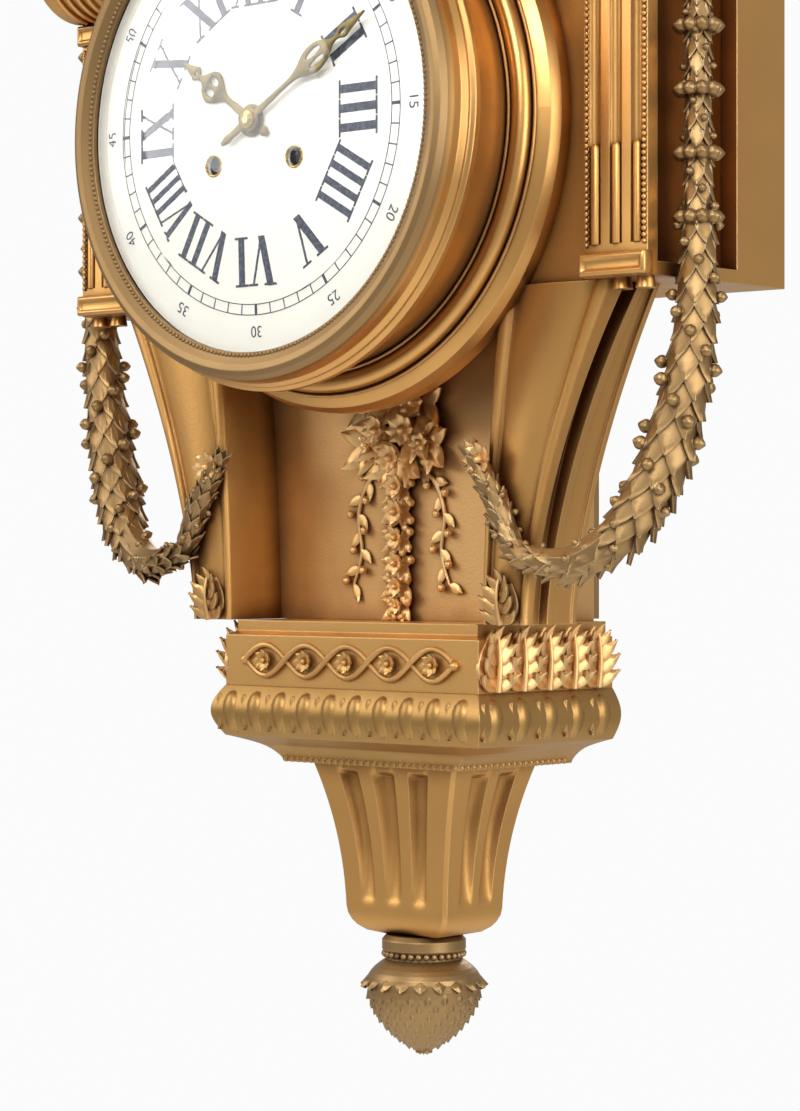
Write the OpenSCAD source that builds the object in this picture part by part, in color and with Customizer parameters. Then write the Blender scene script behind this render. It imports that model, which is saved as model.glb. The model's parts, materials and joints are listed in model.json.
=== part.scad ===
// Neoclassical gilt-bronze cartel clock: a wall clock with a round drum, an urn above and a pendant below.
// The front faces -Y, the wall is the plane y = 0, and the origin is the hanging hole in the back plate.
// "Depth" below means the distance in front of the wall, and heights are measured from the dial's axis.

/* [Whole clock] */
// Height of the clock, from the tip of its finial to the tip of its flame
clock_h = 786; // [780:1:794]

/* [Dial and bezel] */
// Radius of the dial that shows inside the bezel
dial_r = 103; // [98:1:106]
// Depth of the dial's face at its rim
dial_d = 158; // [154:1:166]
// Thickness of the enamelled dial
dial_t = 2; // [1.5:0.25:3]
// How far the dial's middle stands proud of its rim
dial_dome = 2.5; // [1.5:0.5:3]
// Radius of the two winding holes in the dial
wind_hole_r = 4.6; // [4:0.1:6]
// Width of the bezel's moulding outside the dial's edge
bezel_w = 17; // [15:1:20]
// Depth of the bezel from its back to its front
bezel_t = 20; // [20:1:24]
// Thickness of the bezel glass
glass_t = 2.2; // [1.8:0.1:3]
// Rise of the bezel glass at its middle
glass_rise = 14; // [13:0.5:17]
// Radius of the bezel's hinge knuckles
knuckle_r = 3; // [2.5:0.1:3.4]
// Length of each hinge knuckle
knuckle_l = 12; // [8:1:18]

/* [Drum] */
// Wall thickness of the drum
drum_wall = 3.5; // [3:0.5:5]
// Width of the moulded collar round the drum
collar_w = 19; // [16:1:20]
// Depth of the moulded collar, front to back
collar_t = 15; // [12:1:20]

/* [Case] */
// Half the width of the case over its pilasters
case_half_w = 176; // [173:1:186]
// Depth of the pilaster fronts
case_d = 104; // [100:1:108]
// Depth of the case front between the pilasters
front_d = 95; // [93:1:97]
// Width of one pilaster
pilaster_w = 34; // [32:1:36]
// How far the pilasters reach below the dial's axis
pilaster_drop = 75; // [70:1:78]
// How far the pilasters rise above the dial's axis
pilaster_rise = 70; // [64:1:74]
// Radius of the scrolls on the pilasters
scroll_r = 30; // [27:1:32]
// Wall thickness of the bronze castings
wall = 3; // [2.5:0.5:4]
// Thickness of the back plate
back_t = 4; // [4:0.5:6]

/* [Lower stage] */
// Depth of the recessed panel under the drum
panel_d = 62; // [56:1:66]
// Half the width of the pendulum box behind the panel
box_half_w = 68; // [60:1:72]
// Depth of the console fronts
console_d = 98; // [92:1:102]
// Width of a console at its foot
console_foot_w = 25; // [20:1:28]
// Width of a console at its head
console_head_w = 62; // [58:1:64]

/* [Base and pendant] */
// Half the width of the base block
base_half_w = 79; // [74:1:86]
// Depth of the base block's front
base_d = 100; // [96:1:106]
// Height of the base block
base_h = 31; // [26:1:38]
// Height of the moulding under the base block
moulding_h = 36; // [32:1:44]
// How far the moulding stands out past the base block
moulding_out = 5; // [4:1:9]
// Depth of the pendant's axis
pendant_d = 47; // [42:1:52]
// Height of the fluted pendant
pendant_h = 81; // [72:1:90]
// Half the width of the pendant at its top
pendant_half_w = 45; // [40:1:50]
// Half the depth of the pendant at its top
pendant_half_d = 30; // [26:1:33]
// Share of the pendant's width that is left at its bottom
pendant_taper = 0.7; // [0.6:0.05:0.8]
// Largest radius of the cone finial
finial_r = 27; // [23:1:30]
// Height of the cone finial
finial_h = 56; // [50:1:62]

/* [Crown] */
// Height of the cornice
cornice_h = 24; // [20:1:30]
// How far the cornice stands out past the case
cornice_out = 12; // [8:1:14]
// Height of the crest above the cornice
crest_h = 34; // [28:1:42]
// Depth of the urn's axis
urn_d = 52; // [50:1:56]
// Largest radius of the urn
urn_r = 46; // [40:1:48]
// Height of the urn's foot and bowl
urn_h = 92; // [84:1:104]
// Height of the urn's cover
cover_h = 30; // [26:1:36]
// Height of the flame on the cover
flame_h = 48; // [40:1:56]

/* [Garlands] */
// Radius of the laurel garlands
garland_r = 11; // [9:0.5:12]
// How far the garland loops hang below the dial's axis, to their middle line
loop_drop = 196; // [190:1:202]
// Depth of the garlands
garland_d = 82; // [76:1:86]

/* [Movement] */
// Radius of the movement's plates
plate_r = 66; // [64:1:72]
// Thickness of the movement's plates
plate_t = 3; // [2.5:0.5:4]
// Clear distance between the movement's plates
plate_gap = 40; // [38:1:44]
// Distance of each winding arbor to the side of the dial's axis
wind_x = 25; // [24:0.5:27]
// Distance of each winding arbor below the dial's axis
wind_z = 18; // [16:0.5:20]
// Radius of the mainspring barrels
barrel_r = 18.5; // [17:0.5:19]
// Radius of the bell
bell_r = 36; // [32:1:40]
// Length of the pendulum from its pivot to the middle of its bob
pendulum_l = 107.5; // [100:0.5:112]
// Radius of the pendulum's bob
bob_r = 17; // [14:1:20]

/* [Fits] */
// Running clearance between a pin and its hole, all round
run_gap = 0.05; // [0.02:0.01:0.1]
// Clearance between covers that open and what they close on
cover_gap = 0.4; // [0.3:0.1:1]
// Radius of the hanging hole
hang_r = 6; // [5:0.5:8]
// Height of the hanging hole above the dial's axis
hang_rise = 112; // [108:1:118]

/* [Hidden] */
$fn = 64;
face_gap = 0.3;

// Depths of the front stack
drum_front = dial_d - 12;
bezel_back = drum_front + cover_gap;
bezel_front = bezel_back + bezel_t;
bezel_r = dial_r + bezel_w;
bezel_bore = dial_r + 2.6;
drum_in = bezel_bore - 0.1;
drum_r = drum_in + drum_wall;
collar_r = drum_r + collar_w;
hinge_x = -(bezel_r + knuckle_r + face_gap);
pin_r = knuckle_r * 0.4;
glass_seat = bezel_front - 5.2;
glass_front = glass_seat + glass_rise;

// Heights, from the dial's axis
body_half_w = case_half_w - pilaster_w;
scroll_z = pilaster_rise + scroll_r;
cornice_z = scroll_z + scroll_r;
crest_z = cornice_z + cornice_h;
urn_z = crest_z + crest_h;
cover_z = urn_z + urn_h;
flame_z = cover_z + cover_h;
stage_top = -pilaster_drop;
// The stage between the pilasters and the base block takes what the other heights leave
stage_h = clock_h - (flame_z + flame_h) - (pilaster_drop + base_h + moulding_h + pendant_h + finial_h);
base_z = stage_top - stage_h;
moulding_z = base_z - base_h;
pendant_z = moulding_z - moulding_h;
finial_z = pendant_z - pendant_h;
scroll_d = case_d + 2;
rosette_z = scroll_z - 6;
rosette_r = 13;
tie_r = 4;

// Movement layout, as [x, z] about the dial's axis, with depths counted from the wall
front_face = dial_d - 16;
inner_front = front_face - plate_t;
inner_rear = inner_front - plate_gap;
rear_face = inner_rear - plate_t;
great_m = 0.5;
great_n = 84;
second_m = 0.52;
second_n = 72;
centre_m = 0.4;
centre_n = 96;
third_m = 0.35;
third_n = 96;
leaf_n = 12;
fine_leaf_n = 8;
motion_m = 0.45;
cannon_n = 16;
minute_n = 48;
hour_m = 0.48;
hour_n = 48;
escape_n = 38;
escape_r = 11;
arbor_r = 1.5;
pivot_r = 1;
stem_r = 3;
great_cd = (great_n + leaf_n) * great_m / 2;
second_cd = (second_n + leaf_n) * second_m / 2;
third_cd = (centre_n + fine_leaf_n) * centre_m / 2;
escape_cd = (third_n + fine_leaf_n) * third_m / 2;
motion_cd = (cannon_n + minute_n) * motion_m / 2;
fly_cd = (second_n + fine_leaf_n) * centre_m / 2;
centre_at = [0, 0];
going_at = [wind_x, -wind_z];
strike_at = [-wind_x, -wind_z];
second_at = circles_meet(going_at, great_cd, centre_at, second_cd);
third_at = polar(centre_at, third_cd, 107);
escape_at = [0, third_at[1] + sqrt(escape_cd * escape_cd - third_at[0] * third_at[0])];
anchor_at = [0, escape_at[1] + 17];
strike_second_at = polar(strike_at, great_cd, 115);
pin_wheel_at = polar(strike_second_at, second_cd, 75);
fly_at = polar(pin_wheel_at, fly_cd, 60);
minute_at = [0, -motion_cd];
bell_at = [24, 8];
hammer_at = [bell_at[0] + 12, bell_at[1] - 52];

// Layers between the plates, as depths
great_layer = [inner_rear + 3, inner_rear + 5.5];
barrel_layer = [great_layer[1], inner_rear + 31];
second_layer = [inner_rear + 33, inner_rear + 35];
centre_layer = [inner_front - 3, inner_front - 1.5];
third_layer = [inner_rear + 21, inner_rear + 22.5];
escape_layer = [inner_rear + 5, inner_rear + 6.2];
pin_layer = [inner_rear + 13, inner_rear + 14.5];
motion_layer = [front_face + 2, front_face + 3.5];
hour_layer = [front_face + 5.5, front_face + 7];
hour_hand_layer = [dial_d + dial_dome + 0.8, dial_d + dial_dome + 1.7];
minute_hand_layer = [dial_d + dial_dome + 2.6, dial_d + dial_dome + 3.6];
pendulum_layer = [rear_face - 16, rear_face - 12];
crutch_layer = [rear_face - 8, rear_face - 6.5];
bell_mouth_d = rear_face - 30;
bell_h = 24;

// Tooth outlines, flank to flank, as [height past the pitch circle in modules, share of the pitch]
wheel_tooth = [[-1.3, -0.48], [0, -0.46], [0.9, -0.14], [0.9, 0.14], [0, 0.46], [-1.3, 0.48]];
pinion_leaf = [[-1.35, -0.36], [0, -0.4], [0.6, -0.16], [0.6, 0.16], [0, 0.4], [-1.35, 0.36]];
wheel_phase = 0;

// Shared functions
function polar(c, r, a) = [c[0] + r * cos(a), c[1] + r * sin(a)];
function heading(p, q) = atan2(q[1] - p[1], q[0] - p[0]);
function circles_meet(p, rp, q, rq) =
    let (d = norm(q - p), u = (q - p) / d)
    let (a = (rp * rp - rq * rq + d * d) / (2 * d), h = sqrt(rp * rp - a * a))
    [p[0] + a * u[0] + h * u[1], p[1] + a * u[1] - h * u[0]];
function teeth(n, m, phase, shape) = [for (k = [0 : n - 1]) for (s = shape)
    polar([0, 0], n * m / 2 + s[0] * m, phase + (k + s[1] / 2) * 360 / n)];
// Phase of the gear that meshes with one of n_a teeth at phase_a, whose centre lies in direction a from it
function mate_phase(a, phase_a, n_a, n_b) =
    let (f = (a - phase_a) * n_a / 360) a + 180 + (f - floor(f) - 0.5) * 360 / n_b;
function mirrored(points) = concat(points,
    [for (i = [len(points) - 1 : -1 : 0]) [-points[i][0], points[i][1]]]);
// Sides of the consoles: a concave sweep from the head down to the foot
sweep_power = 1.6;
sweep_n = 14;
function sweep_x(z, head_x, foot_x) =
    foot_x + (head_x - foot_x) * pow(max(0, (z - base_z) / (stage_top - base_z)), sweep_power);
function sweep_z(i) = stage_top + (base_z - stage_top) * i / sweep_n;
console_foot_x = base_half_w + console_foot_w;
console_head_x = body_half_w + 9;
function console_out(z) = sweep_x(z, console_head_x, console_foot_x);
function console_in(z) = sweep_x(z, console_head_x - console_head_w, base_half_w);
// Smooth route through points, as rings of a tube
function bend(p, i, t) =
    let (a = p[max(i - 1, 0)], b = p[i], c = p[i + 1], d = p[min(i + 2, len(p) - 1)])
    0.5 * (2 * b + (c - a) * t + (2 * a - 5 * b + 4 * c - d) * t * t + (3 * b - a - 3 * c + d) * t * t * t);
function route(p, steps) = concat(
    [for (i = [0 : len(p) - 2]) for (k = [0 : steps - 1]) bend(p, i, k / steps)], [p[len(p) - 1]]);
function along(p, i) = let (v = p[min(i + 1, len(p) - 1)] - p[max(i - 1, 0)]) v / norm(v);
function ring(p, i, r, sides) =
    let (t = along(p, i), side = [0, 1, 0], up = cross(t, side) / norm(cross(t, side)), over = cross(up, t))
    [for (k = [0 : sides - 1]) p[i] + r * (cos(360 * k / sides) * up + sin(360 * k / sides) * over)];

// Shared shapes
module hung() { translate([0, 0, -hang_rise]) children(); }
// A front-view outline made solid between two depths
module slab(d0, d1) { translate([0, -d0, 0]) rotate([90, 0, 0]) linear_extrude(d1 - d0) children(); }
// A side-view outline, drawn as [depth, height], made solid between two places across the front
module side_slab(x0, x1) { translate([x1, 0, 0]) rotate([90, 0, -90]) linear_extrude(x1 - x0) children(); }
// A profile drawn as [radius, depth] turned about the axis at a front-view place
module turned(at = [0, 0]) { translate([at[0], 0, at[1]]) rotate([90, 0, 0]) rotate_extrude() children(); }
module rod(at, r, d0, d1) { translate([at[0], -d0, at[1]]) rotate([90, 0, 0]) cylinder(r = r, h = d1 - d0); }
module block(x0, x1, d0, d1, z0, z1) { translate([x0, -d1, z0]) cube([x1 - x0, d1 - d0, z1 - z0]); }
module both_sides() {
    children();
    mirror([1, 0, 0]) children();
}
// A solid whose plan is a rectangle at every height: front half-widths and depths are lists of [size, height]
module moulded(half_widths, depths, back = back_t) {
    zs = [for (p = depths) p[1]];
    wide = max([for (p = half_widths) p[0]]) + 1;
    intersection() {
        slab(0, max([for (p = depths) p[0]]) + 1) polygon(mirrored(half_widths));
        side_slab(-wide, wide) polygon(concat(depths, [[back, zs[len(zs) - 1]], [back, zs[0]]]));
    }
}
module tube(points, radii, sides = 10) {
    n = len(points);
    rings = [for (i = [0 : n - 1]) each ring(points, i, radii[i], sides)];
    walls = [for (i = [0 : n - 2]) for (k = [0 : sides - 1]) let (j = (k + 1) % sides)
        each [[i * sides + k, i * sides + j, (i + 1) * sides + j],
            [i * sides + k, (i + 1) * sides + j, (i + 1) * sides + k]]];
    first = [for (k = [1 : sides - 2]) [0, k + 1, k]];
    last = [for (k = [1 : sides - 2]) [(n - 1) * sides, (n - 1) * sides + k, (n - 1) * sides + k + 1]];
    polyhedron(points = rings, faces = concat(walls, first, last));
}
module gear(n, m, at, layer, phase, shape) {
    translate([at[0], 0, at[1]]) slab(layer[0], layer[1]) polygon(teeth(n, m, phase, shape));
}
// An arbor with a shoulder between the plates and a fine pivot in each
module arbor(at) {
    rod(at, arbor_r, inner_rear + face_gap, inner_front - face_gap);
    rod(at, pivot_r, rear_face + face_gap, front_face - face_gap);
}
module pivot_hole(at, r = pivot_r) { rod(at, r + run_gap, rear_face - 1, front_face + 1); }
// A lobed leaf drawn upwards from its stem at the origin
module leaf(length, width, lobes) {
    n = 6 * lobes;
    edge = [for (i = [0 : n]) let (t = i / n)
        [width / 2 * pow(sin(180 * pow(t, 0.8)), 0.7) * (1 + 0.14 * cos(360 * lobes * t)), length * t]];
    polygon(concat(edge, [for (i = [n - 1 : -1 : 1]) [-edge[i][0], edge[i][1]]]));
}

// Back of the clock
door_r = 72;
door_t = 1.6;
door_d = back_t - door_t;
door_hinge_x = door_r + 3.4;
door_pin_r = 0.6;
door_knuckle_r = 1.3;
// How much wider the opening is beside the hinge, for the door's edge to swing through
door_swing = 2;
latch_at = [-(door_r + 5), 0];
latch_l = 11;
latch_layer = [0.2, door_d - door_t / 2 - 0.2];
latch_r = 2;
plate_half_w = case_half_w - 7;
screw_r = 2.2;
screw_head_r = 3.8;
screw_head_t = 1.6;
lug_t = 10;
lug_x = body_half_w + (pilaster_w - 9) / 2;
lug_z = [stage_top + wall + 8, cornice_z - wall - 8];
box_lug_x = box_half_w - wall - 8;
box_lug_z = base_z + wall + 8;
screw_places = concat([for (s = [-1, 1]) for (z = lug_z) [s * lug_x, z]],
    [for (s = [-1, 1]) [s * box_lug_x, box_lug_z]]);
module lug(at) { block(at[0] - 9, at[0] + 9, back_t, back_t + lug_t, at[1] - 9, at[1] + 9); }
module lug_hole(at) { rod(at, screw_r, 0, back_t + lug_t + 1); }
module back_plate() {
    color("darkgoldenrod") difference() {
        union() {
            block(-plate_half_w, plate_half_w, 0, back_t, stage_top + 4, cornice_z - 4);
            block(-box_half_w, box_half_w, 0, back_t, base_z + 1, stage_top + 4);
            rod([0, hang_rise], hang_r + 6, back_t, back_t + 3);
        }
        rod([0, hang_rise], hang_r, -1, back_t + 5);
        for (x = [0, door_swing]) rod([x, 0], door_r + cover_gap, -1, back_t + 1);
        block(door_r - 4, door_hinge_x + 2.2, -1, back_t + 1, -9, 9);
        rod(latch_at, latch_l + 1, -1, latch_layer[1] + 0.2);
        rod(latch_at, latch_r, -1, back_t + 1);
        for (p = screw_places) {
            rod(p, screw_r, -1, back_t + 1);
            rod(p, screw_head_r + 0.2, -1, screw_head_t + face_gap);
        }
    }
    color("darkgoldenrod") for (s = [-1, 1]) difference() {
        union() {
            translate([door_hinge_x, -door_d, s * 6 - 2.4]) cylinder(r = door_knuckle_r, h = 4.8);
            block(door_hinge_x, door_hinge_x + 2.2, door_d - 0.7, door_d + 0.7, s * 6 - 2.4, s * 6 + 2.4);
        }
        translate([door_hinge_x, -door_d, -20]) cylinder(r = door_pin_r + run_gap, h = 40);
    }
}
module rear_door() {
    color("goldenrod") difference() {
        union() {
            rod([0, 0], door_r, door_d - door_t / 2, door_d + door_t / 2);
            block(door_r - 3, door_hinge_x, door_d - 0.6, door_d + 0.6, -3.2, 3.2);
            translate([door_hinge_x, -door_d, -3.2]) cylinder(r = door_knuckle_r, h = 6.4);
        }
        translate([door_hinge_x, -door_d, -20]) cylinder(r = door_pin_r + run_gap, h = 40);
        for (k = [0 : 11]) rod(polar([0, 0], 52, 30 * k), 4, -1, back_t + 1);
        for (k = [0 : 7]) rod(polar([0, 0], 32, 45 * k), 4, -1, back_t + 1);
        rod([0, 0], 6, -1, back_t + 1);
    }
}
module rear_latch() {
    color("goldenrod") {
        rod(latch_at, latch_r - run_gap, latch_layer[0], back_t + 1);
        rod(latch_at, latch_r + 1.2, back_t + face_gap, back_t + 1.6);
        block(latch_at[0] - 2.4, latch_at[0] + 2.4, latch_layer[0], latch_layer[1], -latch_l, latch_l);
    }
}
module hinge_pins() {
    color("silver") {
        translate([hinge_x, -bezel_back, -1.5 * knuckle_l - 0.5]) cylinder(r = pin_r, h = 3 * knuckle_l + 1);
        translate([door_hinge_x, -door_d, -8.6]) cylinder(r = door_pin_r, h = 17.2);
    }
}
module case_screws() {
    color("silver") for (p = screw_places) {
        rod(p, screw_r - run_gap, face_gap, back_t + lug_t - 1);
        rod(p, screw_head_r, face_gap, screw_head_t + face_gap);
    }
}

// Case
module case_body() {
    color("goldenrod") difference() {
        block(-body_half_w, body_half_w, back_t, front_d, stage_top, cornice_z);
        block(-body_half_w + wall, body_half_w - wall, 0, front_d - wall, stage_top + wall, cornice_z - wall);
        rod([0, 0], drum_r + run_gap, 0, front_d + 1);
    }
}
// The collar's moulding: how far out and how far forward, as shares of its width and depth
collar_steps = [[1, 0], [1, 0.45], [0.88, 0.75], [0.6, 1], [0.38, 1], [0.2, 0.7], [0, 0.6]];
module drum_shell() {
    color("darkgoldenrod") difference() {
        union() {
            turned() polygon(concat([[drum_in, panel_d], [drum_r, panel_d], [drum_r, front_d]],
                [for (p = collar_steps) [drum_r + collar_w * p[0], front_d + collar_t * p[1]]],
                [[drum_r, drum_front], [drum_in, drum_front]]));
            for (s = [-1, 1]) {
                z = s * (knuckle_l + face_gap) - knuckle_l / 2;
                translate([hinge_x, -bezel_back, z]) cylinder(r = knuckle_r, h = knuckle_l);
                block(hinge_x - 1, -drum_in - 1, drum_front - 9, drum_front, z, z + knuckle_l);
            }
        }
        translate([hinge_x, -bezel_back, -50]) cylinder(r = pin_r + run_gap, h = 100);
        rod([0, 0], drum_in, drum_front - 12, drum_front + 1);
    }
}
module lower_case() {
    edge = [for (i = [0 : sweep_n]) [console_in(sweep_z(i)) + 6, sweep_z(i)]];
    color("goldenrod") difference() {
        union() {
            slab(panel_d - wall, panel_d) polygon(mirrored(edge));
            difference() {
                block(-box_half_w, box_half_w, back_t, panel_d - 1, base_z, stage_top);
                block(-box_half_w + wall, box_half_w - wall, 0, panel_d - 2, base_z + wall, stage_top + 1);
            }
            for (s = [-1, 1]) lug([s * box_lug_x, box_lug_z]);
        }
        for (s = [-1, 1]) lug_hole([s * box_lug_x, box_lug_z]);
    }
}
gutta_x0 = console_head_x + face_gap;
gutta_pitch = (case_half_w - gutta_x0) / 2;
module pilaster() {
    flute_r = pilaster_w * 0.1;
    recess = 9;
    x0 = body_half_w;
    color("goldenrod") difference() {
        union() {
            difference() {
                block(x0, case_half_w, back_t, case_d, stage_top, pilaster_rise);
                block(x0 + wall, case_half_w - recess - wall, 0, case_d - 2 * wall,
                    stage_top + wall, pilaster_rise - wall);
            }
            for (k = [0, 1]) translate([gutta_x0 + gutta_pitch * (k + 0.5), -case_d + 7, stage_top - 5])
                cylinder(r1 = gutta_pitch * 0.36, r2 = gutta_pitch * 0.28, h = 6);
            lug([lug_x, lug_z[0]]);
        }
        for (k = [0 : 2])
            translate([x0 + pilaster_w * (k + 0.5) / 3, -case_d - flute_r * 0.25, stage_top + 14])
            cylinder(r = flute_r, h = pilaster_rise - stage_top - 28);
        block(case_half_w - recess, case_half_w + 1, 40, case_d - 7, stage_top + 6, pilaster_rise - 6);
        lug_hole([lug_x, lug_z[0]]);
    }
}
module across(x, d, z) { translate([x, -d, z]) rotate([0, 90, 0]) children(); }
module scroll() {
    x0 = body_half_w;
    eye_r = scroll_r - 12;
    groove_r = scroll_r - 4;
    color("darkgoldenrod") difference() {
        union() {
            difference() {
                union() {
                    across(x0, scroll_d, scroll_z) cylinder(r = scroll_r, h = pilaster_w + 2);
                    block(x0, case_half_w, back_t, scroll_d, pilaster_rise, cornice_z);
                }
                block(x0 + wall, case_half_w - wall, 0, scroll_d, pilaster_rise + wall, cornice_z - wall);
                across(x0 + 2 * wall, scroll_d, scroll_z) cylinder(r = eye_r, h = pilaster_w + 2 - 4 * wall);
            }
            across(case_half_w, garland_d, rosette_z) cylinder(r = rosette_r, h = 5);
            lug([lug_x, lug_z[1]]);
        }
        for (x = [x0 - 2, case_half_w]) across(x, scroll_d, scroll_z) difference() {
            cylinder(r = groove_r, h = 4);
            cylinder(r = eye_r, h = 4);
        }
        lug_hole([lug_x, lug_z[1]]);
    }
}
// A console's outline between two shares of its width
function console_band(from, to) = concat(
    [for (i = [0 : sweep_n]) let (z = sweep_z(i)) [console_in(z) + (console_out(z) - console_in(z)) * to, z]],
    [for (i = [sweep_n : -1 : 0]) let (z = sweep_z(i))
        [console_in(z) + (console_out(z) - console_in(z)) * from, z]]);
module console() {
    rib = 4;
    color("goldenrod") {
        difference() {
            slab(panel_d, console_d - rib) polygon(console_band(0, 1));
            slab(panel_d - 1, console_d - rib - wall) intersection() {
                polygon(console_band(0.18, 0.82));
                translate([0, base_z + wall]) square([case_half_w, stage_h - 2 * wall]);
            }
        }
        // One broad band in front, cut back where the drum's collar stands over it
        difference() {
            slab(console_d - rib, console_d) polygon(console_band(0.08, 0.92));
            rod([0, 0], collar_r + face_gap, front_d - face_gap, console_d + 1);
        }
        block(base_half_w + 2, console_foot_x - 2, panel_d + rib, console_d - rib,
            base_z - 6, base_z + wall / 2);
    }
}
// A small leaf on the front of a console's foot
module console_leaf() {
    color("gold") translate([base_half_w + console_foot_w / 2, 0, base_z]) slab(console_d, console_d + 3)
        leaf(stage_h * 0.17, console_foot_w * 0.8, 3);
}
spray_z = -drum_r - 4;
spray_w = 30;
spray_t = 9;
module leaf_spray() {
    drop = spray_z - base_z - 4;
    color("gold") translate([0, 0, spray_z]) slab(panel_d, panel_d + spray_t) {
        rotate(180) leaf(drop, spray_w, 6);
        for (s = [-1, 1]) rotate(180 + s * 40) leaf(drop * 0.42, spray_w * 0.7, 4);
    }
}

// Base and pendant
// How far in the block's edge lies at each height
block_steps = [[0, moulding_z], [0, base_z - 7], [4, base_z - 5], [4, base_z]];
module base_block() {
    inset = 2 * wall;
    color("goldenrod") difference() {
        moulded([for (p = block_steps) [base_half_w - p[0], p[1]]],
            [for (p = block_steps) [base_d - p[0], p[1]]]);
        block(inset - base_half_w, base_half_w - inset, 0, base_d - inset, moulding_z + wall, base_z - wall);
        rod_down([0, pendant_d], tie_r + run_gap, base_z - wall - 50, 60);
    }
}
module rod_down(at, r, z0, h) { translate([at[0], -at[1], z0]) cylinder(r = r, h = h); }
// The moulding's profile: how far it stands out at each share of its height
moulding_profile = concat([for (i = [0 : 8]) [cos(i * 22.5 - 90), 1 - i / 8 * 0.66]],
    [[-0.3, 0.34], [-1.2, 0.22]]);
function moulding_side(half, low) = concat([[low, pendant_z]],
    [for (i = [len(moulding_profile) - 1 : -1 : 0]) let (p = moulding_profile[i])
        [half + moulding_out * p[0] + (p[0] < -0.2 ? p[0] * 9 : 0), pendant_z + moulding_h * p[1]]]);
module base_moulding() {
    lip = 8;
    inset = 3 * wall;
    color("darkgoldenrod") difference() {
        moulded(moulding_side(base_half_w, pendant_half_w + lip),
            moulding_side(base_d, pendant_d + pendant_half_d + lip));
        rod_down([0, pendant_d], tie_r + run_gap, pendant_z - 1, moulding_h + 2);
        block(inset - base_half_w, base_half_w - inset, 0, base_d - inset,
            pendant_z + moulding_h * 0.34, moulding_z - wall);
    }
}
function pendant_side(half, centre) = [for (i = [0 : 16]) let (t = i / 16,
    body = half * (pendant_taper + (1 - pendant_taper) * pow(t, 2.2)),
    round_off = t < 0.16 ? half * 0.34 * (1 - sqrt(max(0, 1 - pow(1 - t / 0.16, 2)))) : 0)
    [centre + body - round_off, finial_z + pendant_h * t]];
module pendant() {
    side = pendant_side(pendant_half_d, 0);
    flute_r = pendant_half_w * 0.1;
    color("goldenrod") difference() {
        intersection() {
            slab(0, pendant_d + 2 * pendant_half_d) polygon(mirrored(pendant_side(pendant_half_w, 0)));
            translate([0, -pendant_d, 0]) side_slab(-2 * pendant_half_w, 2 * pendant_half_w)
                polygon(mirrored(side));
        }
        rod_down([0, pendant_d], tie_r + run_gap, finial_z - 1, pendant_h + 2);
        rod_down([0, pendant_d], pendant_half_d * pendant_taper - 2 * wall, finial_z + 20, pendant_h);
        for (k = [-1 : 1]) for (s = [-1, 1])
            translate([k * pendant_half_w * 0.46, -pendant_d - s * (pendant_half_d * pendant_taper + flute_r),
                finial_z + 22]) rotate([s * 4, 0, 0]) cylinder(r = flute_r, h = pendant_h);
    }
}
module finial() {
    neck = finial_r * 0.66;
    rod_h = pendant_h + moulding_h + wall;
    profile = concat([[0, 0], [2.5, 0.6]],
        [for (i = [1 : 10]) let (t = i / 10)
            [finial_r * pow(sin(90 * pow(t, 0.8)), 0.9), finial_h * 0.62 * t]],
        [for (i = [1 : 5]) let (t = i / 5)
            [finial_r - (finial_r - neck) * pow(t, 1.8), finial_h * (0.62 + 0.18 * t)]],
        [[neck, finial_h * 0.84], [neck + 2, finial_h * 0.88], [neck + 2, finial_h * 0.96], [neck, finial_h],
            [0, finial_h]]);
    color("goldenrod") translate([0, -pendant_d, finial_z - finial_h]) {
        rotate_extrude() polygon(profile);
        cylinder(r = tie_r, h = finial_h + rod_h + 8);
        translate([0, 0, finial_h + rod_h]) cylinder(r = 2 * tie_r, h = 5, $fn = 6);
    }
}

// Crown
module cornice() {
    half = case_half_w + 2;
    deep = scroll_d + scroll_r * 0.3;
    steps = [[0, 0], [0, 0.18], [0.3, 0.24], [0.36, 0.45], [0.8, 0.7], [1, 0.74], [1, 1]];
    color("goldenrod") difference() {
        moulded([for (s = steps) [half + cornice_out * s[0], cornice_z + cornice_h * s[1]]],
            [for (s = steps) [deep + cornice_out * s[0], cornice_z + cornice_h * s[1]]]);
        block(-half + 2 * wall, half - 2 * wall, 0, deep - 2 * wall, cornice_z - 1, crest_z - wall);
        rod_down([0, urn_d], tie_r + run_gap, crest_z - 20, 40);
    }
}
crest_front = urn_d + urn_r * 0.7;
module crest() {
    foot = body_half_w - 12;
    top = urn_r + 6;
    n = 12;
    side = [for (i = [0 : n]) let (t = i / n)
        [top + (foot - top) * pow(1 - t, 2.4), crest_z + 6 + (crest_h - 10) * t]];
    color("goldenrod") difference() {
        slab(back_t, crest_front) polygon(mirrored(concat([[foot, crest_z]], side, [[top, urn_z]])));
        slab(0, crest_front - wall)
            polygon(mirrored([[top + 20, crest_z - 1], [top - wall, crest_z + crest_h * 0.5],
                [top - wall, urn_z - wall]]));
        rod_down([0, urn_d], tie_r + run_gap, crest_z, crest_h + 20);
    }
}
urn_profile = [[0.62, 0], [0.62, 0.06], [0.5, 0.1], [0.3, 0.16], [0.22, 0.22], [0.22, 0.27], [0.34, 0.31],
    [0.62, 0.37], [0.84, 0.46], [0.97, 0.58], [1, 0.7], [0.97, 0.82], [0.86, 0.86], [0.8, 0.92], [0.9, 0.96],
    [0.9, 1]];
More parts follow.
